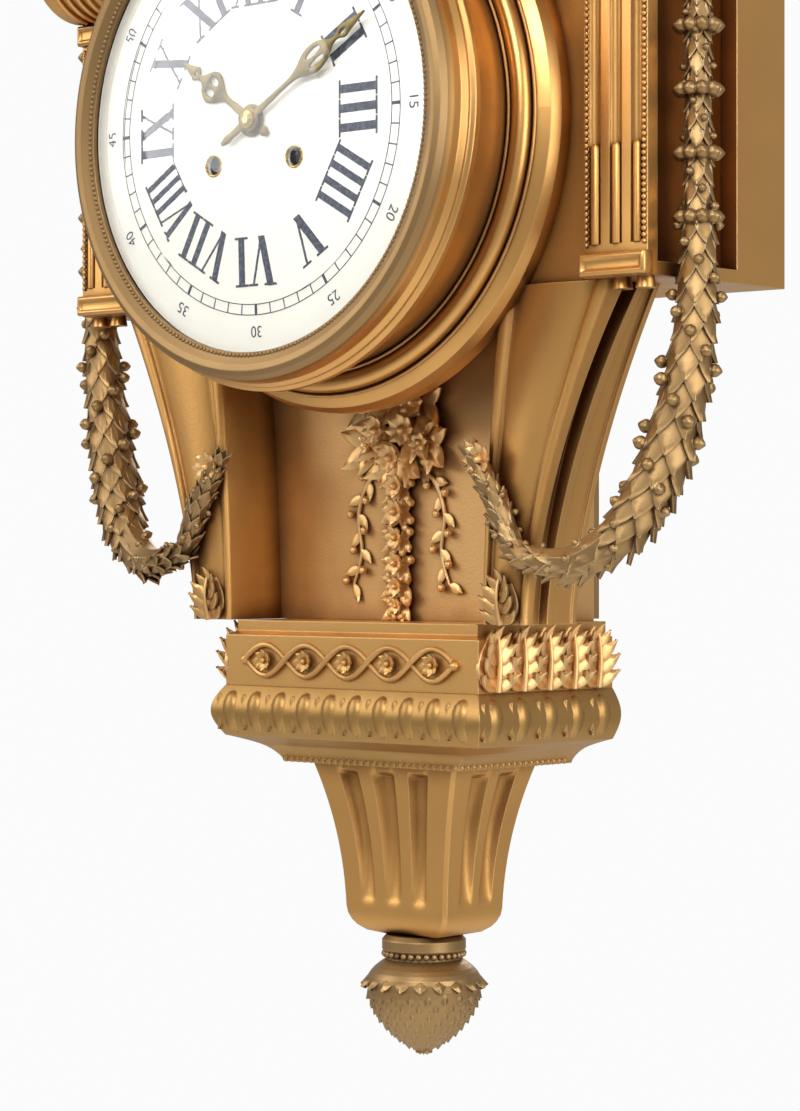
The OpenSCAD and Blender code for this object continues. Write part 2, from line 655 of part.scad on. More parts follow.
module urn() {
    color("goldenrod") translate([0, -urn_d, urn_z]) {
        difference() {
            rotate_extrude() polygon(concat([[0, 0]], [for (p = urn_profile) [p[0] * urn_r, p[1] * urn_h]],
                [[0, urn_h]]));
            translate([0, 0, urn_h * 0.5]) cylinder(r1 = urn_r * 0.5, r2 = urn_r * 0.7, h = urn_h * 0.5 + 1);
        }
        translate([0, 0, -crest_h - wall - 8]) cylinder(r = tie_r, h = crest_h + wall + 8.5);
        translate([0, 0, -crest_h - wall - 5]) cylinder(r = 2 * tie_r, h = 5, $fn = 6);
    }
}
cover_profile = [[0, 0], [1, 0], [1, 0.12], [0.9, 0.24], [0.78, 0.5], [0.5, 0.76], [0.26, 0.86], [0.24, 0.94],
    [0.3, 1], [0, 1]];
module urn_cover() {
    r = urn_r * 0.86;
    color("darkgoldenrod") translate([0, -urn_d, cover_z])
        rotate_extrude() polygon([for (p = cover_profile) [r * p[0], cover_h * p[1]]]);
}
module urn_flame() {
    r = urn_r * 0.32;
    side = [for (i = [0 : 12]) let (t = i / 12) [r * (0.55 + 0.8 * t - 1.35 * t * t * t), flame_h * t]];
    color("gold") translate([0, -urn_d, flame_z]) rotate_extrude() polygon(concat(side, [[0, 0]]));
}
handle_r = 11;
ring_r = 2.5;
handle_x = urn_r + handle_r + ring_r;
handle_z = urn_z + urn_h * 0.68;
module urn_handles() {
    color("darkgoldenrod") both_sides() difference() {
        translate([handle_x, -urn_d, handle_z]) rotate([90, 0, 0]) rotate_extrude()
            translate([handle_r, 0]) circle(r = ring_r);
        translate([0, -urn_d, urn_z]) cylinder(r = urn_r + 0.05, h = urn_h);
    }
}
// Swags from the urn's rings, over the crest, to the ends of the cornice
swag_r = 7;
swag_end = 0.55;
module urn_swags() {
    d = urn_d + swag_r * swag_end + ring_r + face_gap;
    end_z = crest_z + swag_r * swag_end + face_gap;
    fall = handle_z - handle_r - end_z;
    run = case_half_w - 12 - handle_x;
    points = route([[handle_x, -d, handle_z - handle_r], [handle_x + run * 0.06, -d, end_z + fall * 0.66],
        [handle_x + run * 0.22, -d, end_z + fall * 0.42], [handle_x + run * 0.48, -d, end_z + fall * 0.24],
        [handle_x + run * 0.76, -d, end_z + fall * 0.12], [handle_x + run, -d, end_z]], 5);
    n = len(points);
    sizes = [for (i = [0 : n - 1]) swag_end + (1 - swag_end) * sin(180 * i / (n - 1))];
    color("gold") both_sides() tube(points, swag_r * sizes, 8);
}

// Garlands that fall from the scrolls, loop under the pilasters and end across the fronts of the consoles
module garland() {
    x = case_half_w + garland_r + face_gap;
    top_z = rosette_z - rosette_r - face_gap;
    thin = 0.5;
    end_gap = 0.85;
    d = console_d + garland_r * thin + end_gap;
    // Where the loop turns up at the console's outer edge, and where it ends at the inner one
    turn_z = 6 - loop_drop;
    turn_x = console_out(turn_z) - garland_r * 0.4;
    end_z = turn_z + stage_h * 0.26;
    end_x = console_in(end_z) - 1;
    // Shares of the way in, forward and down to the turn, then of the way to the end, each with a thickness
    loop = [[0.02, 0, 0.15, 1], [0.07, 0.05, 0.39, 1], [0.17, 0.19, 0.645, 1], [0.34, 0.46, 0.87, 1],
        [0.58, 0.72, 0.99, 0.9], [0.8, 0.98, 1, 0.66]];
    climb = [[0, 0, 0, thin], [0.46, 0.3, 0.5, 0.52], [1, 0, 1, 0.4]];
    stops = concat([for (p = [[top_z, 0.7], [top_z - 40, 0.88], [0, 0.88], [stage_top + 12, 0.92]])
        [x, -garland_d, p[0], p[1]]],
        [for (p = loop) [x + (turn_x - x) * p[0], -garland_d - (d - garland_d) * p[1],
            stage_top - (loop_drop + stage_top) * p[2], p[3]]],
        [for (p = climb) [turn_x + (end_x - turn_x) * p[0], -d - p[1],
            turn_z + (end_z - turn_z) * p[2], p[3]]]);
    points = route(stops, 4);
    color("gold") tube([for (p = points) [p[0], p[1], p[2]]], garland_r * [for (p = points) p[3]]);
}

// Dial, bezel and glass
ring_in = dial_r - 5;
dial_rim = dial_r + 0.6;
module dial_ring() {
    color("darkgoldenrod") turned() polygon([[ring_in, drum_front - 8], [drum_in - run_gap, drum_front - 8],
        [drum_in - run_gap, drum_front], [dial_rim, drum_front], [dial_rim, dial_d - dial_t],
        [ring_in, dial_d - dial_t]]);
}
function dome(r) = dial_dome * (1 - pow(r / dial_r, 2));
module dial() {
    n = 10;
    flat = ring_in - 1;
    front = [for (i = [0 : n]) let (r = dial_r * i / n) [r, dial_d + dome(r)]];
    back = [for (i = [n : -1 : 0]) let (r = flat * i / n) [r, dial_d - dial_t + dome(r) * 0.98]];
    edge = [[dial_rim, dial_d], [dial_rim, dial_d - dial_t], [flat, dial_d - dial_t]];
    color("white") difference() {
        turned() polygon(concat(front, edge, back));
        rod([0, 0], pipe_r + 1, dial_d - 5, dial_d + dial_dome + 1);
        for (at = [going_at, strike_at]) rod(at, wind_hole_r, dial_d - 5, dial_d + dial_dome + 1);
    }
}
module bezel() {
    seat_r = bezel_bore + 1;
    seat_d = glass_seat - glass_t - 0.2;
    // How far in from the outer edge, as a share of the width, at each share of the depth
    steps = [[0, 0], [0, 0.14], [0.1, 0.22], [0.1, 0.3], [0.2, 0.42], [0.22, 0.62], [0.26, 0.8], [0.36, 0.94],
        [0.5, 1], [0.66, 0.98], [0.8, 0.92], [1, 0.84]];
    color("goldenrod") difference() {
        union() {
            turned() polygon(concat([[bezel_bore, bezel_back]],
                [for (p = steps) [bezel_r - bezel_w * p[0], bezel_back + bezel_t * p[1]]],
                [[dial_r, glass_seat], [seat_r, glass_seat], [seat_r, seat_d], [bezel_bore, seat_d]]));
            translate([hinge_x, -bezel_back, -knuckle_l / 2]) cylinder(r = knuckle_r, h = knuckle_l);
            block(hinge_x, -bezel_r + 4, bezel_back, bezel_back + 2.6, -knuckle_l / 2, knuckle_l / 2);
        }
        translate([hinge_x, -bezel_back, -50]) cylinder(r = pin_r + run_gap, h = 100);
    }
}
module glass() {
    rim = bezel_bore + 0.9;
    flat = dial_r - 1;
    n = 12;
    rise = [for (i = [0 : n]) [flat * i / n, glass_rise * (1 - pow(i / n, 2.6))]];
    outside = [for (p = rise) [p[0], glass_seat + p[1]]];
    inside = [for (i = [n : -1 : 0]) [rise[i][0], glass_seat - glass_t + rise[i][1]]];
    color("lightcyan", 0.3)
        turned() polygon(concat(outside, [[rim, glass_seat], [rim, glass_seat - glass_t]], inside));
}

// Hands and motion work
hour_angle = 145;
minute_angle = 30;
pipe_r = 4.6;
cannon_r = 2.6;
post_r = 1.2;
// Half of a hand from its tail to its tip, as shares of its width and length
hand_half = [[0.3, -0.2], [0.5, 0.1], [0.34, 0.4], [0.95, 0.56], [1.1, 0.66], [0.5, 0.78], [0.08, 1]];
module hand_outline(length, width) {
    circle(r = width);
    polygon(mirrored([for (p = hand_half) [width * p[0], length * p[1]]]));
}
module hour_hand() {
    color("goldenrod") difference() {
        slab(hour_hand_layer[0], hour_hand_layer[1]) rotate(hour_angle - 90) hand_outline(dial_r * 0.5, 7.4);
        rod([0, 0], pipe_r + 0.02, 0, glass_front);
    }
}
module minute_hand() {
    color("goldenrod") difference() {
        slab(minute_hand_layer[0], minute_hand_layer[1])
            rotate(minute_angle - 90) hand_outline(dial_r * 0.78, 6);
        rod([0, 0], cannon_r + 0.02, 0, glass_front);
    }
}
module hand_nut() {
    d = minute_hand_layer[1];
    rim = cannon_r + 1.4;
    bore = arbor_r + 0.1;
    color("goldenrod") turned()
        polygon([[0, d + 0.7], [bore, d + 0.7], [bore, d], [rim, d], [rim, d + 0.8], [1.6, d + 1.8],
            [0, d + 1.8]]);
}
module cannon_pinion() {
    layer = [motion_layer[0] - 0.5, motion_layer[1] + 0.5];
    color("silver") difference() {
        union() {
            gear(cannon_n, motion_m, centre_at, layer, wheel_phase, pinion_leaf);
            rod(centre_at, cannon_r, front_face + 0.6, minute_hand_layer[1]);
        }
        rod(centre_at, arbor_r + 0.02, 0, minute_hand_layer[1] + 1);
    }
}
module minute_wheel() {
    phase = mate_phase(heading(centre_at, minute_at), wheel_phase, cannon_n, minute_n);
    color("goldenrod") difference() {
        union() {
            gear(minute_n, motion_m, minute_at, motion_layer, phase, wheel_tooth);
            gear(leaf_n, hour_m, minute_at, [motion_layer[1], hour_layer[1] + 1], wheel_phase, pinion_leaf);
        }
        rod(minute_at, post_r + run_gap, 0, glass_front);
    }
}
module hour_wheel() {
    phase = mate_phase(heading(minute_at, centre_at), wheel_phase, leaf_n, hour_n);
    color("goldenrod") difference() {
        union() {
            gear(hour_n, hour_m, centre_at, hour_layer, phase, wheel_tooth);
            rod(centre_at, pipe_r, hour_layer[0], hour_hand_layer[1]);
        }
        rod(centre_at, cannon_r + 2 * run_gap, 0, glass_front);
    }
}

// Frame of the movement
pillar_places = [for (a = [45, 135, 240, 300]) polar([0, 0], plate_r - 6, a)];
pivot_places = [second_at, third_at, escape_at, strike_second_at, pin_wheel_at, fly_at, anchor_at];
module plate_holes() {
    for (at = pivot_places) pivot_hole(at);
    for (at = pillar_places) rod(at, 2.5, 0, glass_front);
}
module front_plate() {
    color("gold") {
        difference() {
            rod([0, 0], plate_r, inner_front, front_face);
            plate_holes();
            rod(centre_at, arbor_r + run_gap, 0, glass_front);
            for (at = [going_at, strike_at]) rod(at, stem_r + run_gap, 0, glass_front);
        }
        rod(minute_at, post_r, front_face, hour_layer[1] + 1.6);
    }
}
module rear_plate() {
    color("gold") difference() {
        rod([0, 0], plate_r, rear_face, inner_rear);
        plate_holes();
        rod(centre_at, pivot_r + run_gap, 0, glass_front);
        rod(anchor_at, arbor_r + run_gap + 0.5, 0, glass_front);
        rod(strike_second_at, arbor_r + run_gap, 0, glass_front);
        for (at = [going_at, strike_at]) rod(at, 2 + run_gap, 0, glass_front);
    }
    color("gold") rod(hammer_at, hammer_post_r, bell_mouth_d + 4, rear_face);
}
module plate_pillars() {
    color("goldenrod") for (at = pillar_places) {
        rod(at, 4, inner_rear, inner_front);
        rod(at, 2.5 - run_gap, rear_face - 1.5, front_face + 1.5);
        rod(at, 3.6, rear_face - 3.5, rear_face);
        rod(at, 3.6, front_face, front_face + 2);
    }
}
module movement_straps() {
    half_w = 6;
    end_r = ring_in - run_gap;
    length = sqrt(end_r * end_r - half_w * half_w);
    color("goldenrod") for (a = [90, 210, 330]) rotate([0, -a, 0]) {
        block(plate_r - 12, length, front_face, front_face + 2.2, -half_w, half_w);
        rod([plate_r - 5, 0], 3, front_face + 2.2, front_face + 4);
    }
}
ratchet_r = 8;
ratchet_layer = [front_face + 0.4, front_face + 2.4];
module ratchet_clicks() {
    color("silver") for (s = [-1, 1]) translate([s * (wind_x + 4), 0, -wind_z - ratchet_r - 5.5]) {
        slab(ratchet_layer[0], ratchet_layer[1])
            polygon([for (p = [[-3, -3], [-9, 2.5], [-5, 4.4], [2, 2.5], [3, -2]]) [s * p[0], p[1]]]);
        rod([0, 0], 2.2, front_face, ratchet_layer[1] + 1);
    }
}

// Going train
module centre_wheel() {
    color("gold") {
        gear(centre_n, centre_m, centre_at, centre_layer, wheel_phase, wheel_tooth);
        gear(leaf_n, second_m, centre_at, [second_layer[0] - 1, second_layer[1] + 1],
            mate_phase(heading(second_at, centre_at), wheel_phase, second_n, leaf_n), pinion_leaf);
        rod(centre_at, arbor_r, inner_rear + face_gap, minute_hand_layer[1] + 0.6);
        rod(centre_at, pivot_r, rear_face + face_gap, inner_rear + 1);
    }
}
module barrel(at) {
    color("gold") difference() {
        union() {
            gear(great_n, great_m, at, great_layer, wheel_phase, wheel_tooth);
            rod(at, barrel_r, barrel_layer[0], barrel_layer[1]);
        }
        rod(at, stem_r + run_gap, 0, glass_front);
        turned(at) polygon([[stem_r + 3, barrel_layer[0] + 1], [barrel_r - 1.4, barrel_layer[0] + 1],
            [barrel_r - 1.4, barrel_layer[1] - 1.2], [stem_r + 3, barrel_layer[1] - 1.2]]);
    }
}
module winding_arbor(at) {
    square_w = 4.2;
    color("silver") {
        rod(at, stem_r, great_layer[0] - 2, front_face + 3);
        rod(at, 2, rear_face + face_gap, great_layer[0] - 1);
        translate([at[0], 0, at[1]]) slab(front_face + 2, dial_d - 1) square(square_w, center = true);
        gear(18, ratchet_r / 10, at, ratchet_layer, wheel_phase,
            [[-0.4, -0.9], [0.8, 0.7], [0.8, 0.86], [-0.4, 0.94]]);
    }
}
module going_barrel() { barrel(going_at); }
module going_arbor() { winding_arbor(going_at); }
module going_second_wheel() {
    color("gold") {
        gear(second_n, second_m, second_at, second_layer, wheel_phase, wheel_tooth);
        gear(leaf_n, great_m, second_at, [great_layer[0] - 1, great_layer[1] + 1],
            mate_phase(heading(going_at, second_at), wheel_phase, great_n, leaf_n), pinion_leaf);
        arbor(second_at);
    }
}
module third_wheel() {
    color("gold") {
        gear(third_n, third_m, third_at, third_layer, wheel_phase, wheel_tooth);
        gear(fine_leaf_n, centre_m, third_at, [centre_layer[0] - 1, centre_layer[1] + 1],
            mate_phase(heading(centre_at, third_at), wheel_phase, centre_n, fine_leaf_n), pinion_leaf);
        arbor_fine(third_at);
    }
}
// A thinner arbor for the small pinions, whose roots lie inside a full-size one
module arbor_fine(at) {
    rod(at, 0.95, inner_rear + face_gap, inner_front - face_gap);
    rod(at, pivot_r - 0.3, rear_face + face_gap, front_face - face_gap);
    rod(at, pivot_r, rear_face + face_gap, inner_rear + 0.6);
    rod(at, pivot_r, inner_front - 0.6, front_face - face_gap);
}
module escape_wheel() {
    color("gold") {
        gear(escape_n, 2 * escape_r / escape_n, escape_at, escape_layer, wheel_phase,
            [[-2.4, -0.6], [-0.2, 0.34], [-0.2, 0.46], [-2.4, 0.4]]);
        gear(fine_leaf_n, third_m, escape_at, [third_layer[0] - 1.5, third_layer[1] + 1.5],
            mate_phase(heading(third_at, escape_at), wheel_phase, third_n, fine_leaf_n), pinion_leaf);
        arbor_fine(escape_at);
    }
}
crutch_l = 40;
module anchor() {
    reach = escape_r + 1.3;
    span = 48;
    hub = 3.4;
    left = polar(escape_at, reach, 90 + span);
    right = polar(escape_at, reach, 90 - span);
    fork_z = anchor_at[1] - crutch_l - 0.5;
    color("silver") {
        slab(escape_layer[0] - 0.4, escape_layer[1] + 0.4) polygon([
            polar(anchor_at, hub, 90), polar(anchor_at, hub, 180), left + [-2.6, 3], left, left + [1.9, 1.4],
            polar(anchor_at, hub, 225), polar(anchor_at, hub, 315), right + [-1.9, 1.4], right,
            right + [2.6, 3], polar(anchor_at, hub, 0)]);
        rod(anchor_at, arbor_r, crutch_layer[0] - 1, inner_front - face_gap);
        rod(anchor_at, pivot_r, inner_front - 1, front_face - face_gap);
        translate([0, 0, anchor_at[1]]) slab(crutch_layer[0], crutch_layer[1]) {
            circle(r = hub);
            translate([-1.1, -crutch_l]) square([2.2, crutch_l]);
            translate([-3.6, -crutch_l - 2]) square([7.2, 3]);
        }
        for (s = [-1, 1]) rod([s * 2.8, fork_z], 0.8, pendulum_layer[0] + 0.5, crutch_layer[0]);
    }
}
hook_r = 1.5;
// Half of the bob's profile, as [share of its radius, half thickness]
bob_profile = [[0, 4.5], [0.7, 3.6], [1, 0.6]];
module pendulum() {
    mid = (pendulum_layer[0] + pendulum_layer[1]) / 2;
    bob_z = anchor_at[1] - pendulum_l;
    color("goldenrod") difference() {
        union() {
            rod([0, anchor_at[1]], 3.6, pendulum_layer[0], pendulum_layer[1]);
            rod_down([0, mid], 1.2, bob_z - bob_r - 9, pendulum_l + bob_r + 8);
            turned([0, bob_z]) polygon(concat([for (p = bob_profile) [bob_r * p[0], mid - p[1]]],
                [for (i = [2 : -1 : 0]) [bob_r * bob_profile[i][0], mid + bob_profile[i][1]]]));
            rod_down([0, mid], 3.6, bob_z - bob_r - 6, 3.6);
        }
        rod([0, anchor_at[1]], hook_r + run_gap, 0, glass_front);
    }
}
module suspension_cock() {
    z = anchor_at[1];
    color("goldenrod") {
        rod([0, z], hook_r, pendulum_layer[0] - 2.5, pendulum_layer[1] + 1);
        block(-7, 7, pendulum_layer[0] - 3, rear_face, z + 5, z + 9.5);
        block(-5, 5, pendulum_layer[0] - 3, pendulum_layer[0] - 0.6, z - 4, z + 6);
    }
}

// Striking train
module strike_barrel() { barrel(strike_at); }
module strike_arbor() { winding_arbor(strike_at); }
count_r = 20;
count_layer = [rear_face - 6, rear_face - 4];
module strike_second_wheel() {
    // One notch after each hour's blows, counted in blows
    notches = [for (k = [1 : 12]) k * (k + 1) / 2 + k - 1];
    total = notches[11] + 1;
    color("gold") {
        gear(second_n, second_m, strike_second_at, second_layer, wheel_phase, wheel_tooth);
        gear(leaf_n, great_m, strike_second_at, [great_layer[0] - 1, great_layer[1] + 1],
            mate_phase(heading(strike_at, strike_second_at), wheel_phase, great_n, leaf_n), pinion_leaf);
        arbor(strike_second_at);
        rod(strike_second_at, arbor_r, count_layer[0] - 1, inner_rear + 1);
        difference() {
            rod(strike_second_at, count_r, count_layer[0], count_layer[1]);
            for (k = [0 : 11]) translate([strike_second_at[0], 0, strike_second_at[1]])
                rotate([0, -notches[k] * 360 / total, 0]) block(count_r - 3, count_r + 1, count_layer[0] - 1,
                    count_layer[1] + 1, -0.4, 0.4);
        }
    }
}
module pin_wheel() {
    color("gold") {
        gear(second_n, centre_m, pin_wheel_at, pin_layer, wheel_phase, wheel_tooth);
        gear(leaf_n, second_m, pin_wheel_at, [second_layer[0] - 1, second_layer[1] + 1],
            mate_phase(heading(strike_second_at, pin_wheel_at), wheel_phase, second_n, leaf_n), pinion_leaf);
        arbor(pin_wheel_at);
        for (k = [0 : 9]) rod(polar(pin_wheel_at, 11, 36 * k), 0.5, pin_layer[0] - 3, pin_layer[0] + 0.5);
    }
}
module fly() {
    vane = 8;
    color("gold") {
        gear(fine_leaf_n, centre_m, fly_at, [pin_layer[0] - 1, pin_layer[1] + 1],
            mate_phase(heading(pin_wheel_at, fly_at), wheel_phase, second_n, fine_leaf_n), pinion_leaf);
        arbor_fine(fly_at);
        translate([fly_at[0], 0, fly_at[1]])
            block(-vane, vane, third_layer[1] + 2, inner_front - 5, -0.4, 0.4);
    }
}
hammer_post_r = 2;
module hammer() {
    head = polar(bell_at, bell_r + 5.2, -40);
    arm_d = [bell_mouth_d + 5, bell_mouth_d + 8];
    color("silver") {
        difference() {
            rod(hammer_at, 4, arm_d[0], arm_d[1] + 3);
            rod(hammer_at, hammer_post_r + run_gap, 0, glass_front);
        }
        slab(arm_d[0], arm_d[1]) polygon([hammer_at + [-1.3, 4], hammer_at + [2.6, 3.2], head + [1.2, -0.8],
            head + [-1.2, 0.8]]);
        rod(head, 4, bell_mouth_d - 4, arm_d[1]);
    }
}
module bell() {
    crown = bell_mouth_d - bell_h;
    bell_t = 2.4;
    function curve(t) = [for (i = [0 : 10])
        [(bell_r - t) * cos(9 * i), bell_mouth_d - (bell_h - t) * sin(9 * i)]];
    inner = curve(bell_t);
    color("khaki") {
        turned(bell_at) polygon(concat(curve(0), [for (i = [10 : -1 : 0]) inner[i]]));
        rod(bell_at, 2.2, crown - 4, rear_face);
        rod(bell_at, 4.5, crown - 3, crown + 0.5);
    }
}

hung() back_plate();
hung() rear_door();
hung() rear_latch();
hung() hinge_pins();
hung() case_screws();
hung() case_body();
hung() drum_shell();
hung() lower_case();
hung() mirror([1, 0, 0]) pilaster();  // pilaster_left
hung() pilaster();  // pilaster_right
hung() mirror([1, 0, 0]) scroll();  // scroll_left
hung() scroll();  // scroll_right
hung() mirror([1, 0, 0]) console();  // console_left
hung() console();  // console_right
hung() both_sides() console_leaf();  // console_leaves
hung() base_block();
hung() base_moulding();
hung() pendant();
hung() finial();
hung() cornice();
hung() crest();
hung() urn();
hung() urn_cover();
hung() urn_flame();
hung() urn_handles();
hung() urn_swags();
hung() mirror([1, 0, 0]) garland();  // garland_left
hung() garland();  // garland_right
hung() leaf_spray();
hung() dial_ring();
hung() dial();
hung() bezel();
hung() glass();
hung() hour_hand();
hung() minute_hand();
hung() hand_nut();
hung() cannon_pinion();
hung() minute_wheel();
hung() hour_wheel();
hung() front_plate();
hung() rear_plate();
hung() plate_pillars();
hung() movement_straps();
hung() ratchet_clicks();
hung() centre_wheel();
hung() going_barrel();
hung() going_arbor();
hung() going_second_wheel();
hung() third_wheel();
hung() escape_wheel();
hung() anchor();
hung() pendulum();
hung() suspension_cock();
hung() strike_barrel();
hung() strike_arbor();
hung() strike_second_wheel();
hung() pin_wheel();
hung() fly();
hung() hammer();
hung() bell();
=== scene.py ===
import json
import math

import bpy
from mathutils import Matrix, Vector


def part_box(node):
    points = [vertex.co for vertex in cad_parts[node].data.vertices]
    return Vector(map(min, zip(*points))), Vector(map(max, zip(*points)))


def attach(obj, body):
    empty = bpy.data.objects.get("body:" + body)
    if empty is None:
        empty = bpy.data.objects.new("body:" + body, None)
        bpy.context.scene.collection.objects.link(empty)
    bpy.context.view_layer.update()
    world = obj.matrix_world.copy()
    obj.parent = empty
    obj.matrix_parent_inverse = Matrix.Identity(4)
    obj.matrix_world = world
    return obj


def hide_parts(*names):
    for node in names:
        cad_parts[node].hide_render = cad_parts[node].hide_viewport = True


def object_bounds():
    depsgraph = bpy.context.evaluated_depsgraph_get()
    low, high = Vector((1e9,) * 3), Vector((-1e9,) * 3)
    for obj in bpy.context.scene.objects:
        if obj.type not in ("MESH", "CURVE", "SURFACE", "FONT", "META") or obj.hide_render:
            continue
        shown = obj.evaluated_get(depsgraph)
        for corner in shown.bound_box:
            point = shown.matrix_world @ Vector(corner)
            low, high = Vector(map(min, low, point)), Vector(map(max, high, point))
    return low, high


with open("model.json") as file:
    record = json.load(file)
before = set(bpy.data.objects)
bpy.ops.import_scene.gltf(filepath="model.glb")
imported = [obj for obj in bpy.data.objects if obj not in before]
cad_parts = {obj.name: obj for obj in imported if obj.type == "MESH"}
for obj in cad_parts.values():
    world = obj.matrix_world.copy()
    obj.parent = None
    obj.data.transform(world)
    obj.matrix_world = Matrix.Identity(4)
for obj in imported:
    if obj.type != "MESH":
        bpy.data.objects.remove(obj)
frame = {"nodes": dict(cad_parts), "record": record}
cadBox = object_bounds()
scene = bpy.context.scene
mm = 0.001
axisZ = sum(corner.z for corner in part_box("dial")) / 2  # height of the dial's axis in the frame, in metres


# A node's sides in millimetres: across, out from the wall, and up from the dial's axis
def extent(node):
    low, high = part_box(node)
    return {"left": low.x / mm, "right": high.x / mm, "back": -high.y / mm, "front": -low.y / mm,
            "low": (low.z - axisZ) / mm, "high": (high.z - axisZ) / mm}


# Camera, floor and lamps
photoCamera = {"place": (0.9634, -1.1339, -0.3054), "turn": 42, "lens": 99.64}
bpy.ops.object.camera_add(location=photoCamera["place"],
                          rotation=(math.radians(90), 0, math.radians(photoCamera["turn"])))
camera = bpy.context.object
camera.name = "photoCamera"
camera.data.lens = photoCamera["lens"]
scene.camera = camera
scene.view_settings.view_transform = "Standard"
print("camera set")


class Wire:
    def __init__(self, finish, socket):
        self.finish = finish
        self.socket = socket

    def maths(self, operation, first, second):
        return self.finish.add("ShaderNodeMath", {"operation": operation}, {0: first, 1: second})

    def __add__(self, other):
        return self.maths("ADD", self, other)

    def __sub__(self, other):
        return self.maths("SUBTRACT", self, other)

    def __rsub__(self, other):
        return self.maths("SUBTRACT", other, self)

    def __mul__(self, other):
        return self.maths("MULTIPLY", self, other)

    __radd__ = __add__
    __rmul__ = __mul__

    def clamped(self):
        return self.finish.add("ShaderNodeClamp", {}, {0: self})

    def dot(self, other):
        return self.finish.vector("DOT_PRODUCT", self, other, 1)

    def sine(self):
        return self.finish.add("ShaderNodeMath", {"operation": "SINE"}, {0: self})


class Finish:
    def __init__(self, name, world=None):
        self.block = world or bpy.data.materials.new(name)
        self.block.use_nodes = True
        self.tree = self.block.node_tree
        self.tree.nodes.clear()

    def add(self, kind, settings=None, sockets=None, out=0):
        node = self.tree.nodes.new(kind)
        for key, value in (settings or {}).items():
            setattr(node, key, value)
        for key, value in (sockets or {}).items():
            if isinstance(value, Wire):
                self.tree.links.new(value.socket, node.inputs[key])
            else:
                node.inputs[key].default_value = value
        return Wire(self, node.outputs[out]) if node.outputs else None

    def mix(self, first, second, share):
        return self.add("ShaderNodeMix", {"data_type": "RGBA"}, {0: share, 6: first, 7: second}, 2)

    def place(self):
        return self.add("ShaderNodeTexCoord", out="Object")

    def noise(self, scale, detail=3):
        return self.add("ShaderNodeTexNoise", {}, {"Vector": self.place(), "Scale": scale, "Detail": detail})

    def bump(self, strength, distance, height, normal=None):
        sockets = {"Strength": strength, "Distance": distance, "Height": height}
        if normal:
            sockets["Normal"] = normal
        return self.add("ShaderNodeBump", {}, sockets)

    def vector(self, operation, first, second, out=0):
        return self.add("ShaderNodeVectorMath", {"operation": operation}, {0: first, 1: second}, out)

    def surface(self, sockets):
        return self.done(self.add("ShaderNodeBsdfPrincipled", {}, sockets))

    def done(self, shader, kind="ShaderNodeOutputMaterial"):
        self.add(kind, {}, {"Surface": shader})
        return self.block


def colour(red, green, blue):
    return (red, green, blue, 1)


studio = {"seen": colour(0.965, 0.968, 0.968), "fill": colour(1, 0.985, 0.96), "fillStrength": 0.37,
          "floorDrop": 0.62, "floorSize": 4, "floorFade": 1.9,
          "floorTones": (colour(0.86, 0.86, 0.86), colour(0.84, 0.84, 0.83))}
scene.world = bpy.data.worlds.new("studio")
air = Finish("studio", scene.world)
seen = air.add("ShaderNodeBackground", {}, {"Color": studio["seen"], "Strength": 1})
fill = air.add("ShaderNodeBackground", {}, {"Color": studio["fill"], "Strength": studio["fillStrength"]})
direct = air.add("ShaderNodeLightPath", out="Is Camera Ray")
air.done(air.add("ShaderNodeMixShader", {}, {0: direct, 1: fill, 2: seen}), "ShaderNodeOutputWorld")

# Lamps: place, what they point at, size in metres and power in watts
lamps = {"leftLamp": ((-1.9, -1.9, 0.95), (0, -0.1, -0.1), 1.8, 28),
         "keyLamp": ((1.1, -2.2, 1.1), (0, -0.1, -0.2), 1.0, 33),
         "rightLamp": ((2.4, -0.2, 0.1), (0, -0.05, -0.25), 1.5, 28),
         "topLamp": ((0.2, -0.8, 2.0), (0, -0.1, 0), 1.0, 12),
         "backLamp": ((-1.3, 1.9, 0.8), (0, 0, -0.1), 1.4, 20)}
for name, (place, goal, size, power) in lamps.items():
    aim = (Vector(goal) - Vector(place)).to_track_quat("-Z", "Y").to_euler()
    bpy.ops.object.light_add(type="AREA", location=place, rotation=aim)
    lamp = bpy.context.object
    lamp.name = name
    lamp.data.size = size
    lamp.data.energy = power

floorZ = cadBox[0].z - studio["floorDrop"]
bpy.ops.mesh.primitive_plane_add(size=studio["floorSize"], location=(0, 0, floorZ))
floor = bpy.context.object
floor.name = "floor"
floorFinish = Finish("paleFloor")
away = floorFinish.add("ShaderNodeVectorMath", {"operation": "LENGTH"}, {0: floorFinish.place()}, 1)
floorTone = floorFinish.mix(*studio["floorTones"], floorFinish.noise(3))
floor.data.materials.append(floorFinish.surface({
    "Base Color": floorTone, "Roughness": 0.8, "Alpha": (studio["floorFade"] - away).clamped()}))
print("studio set")


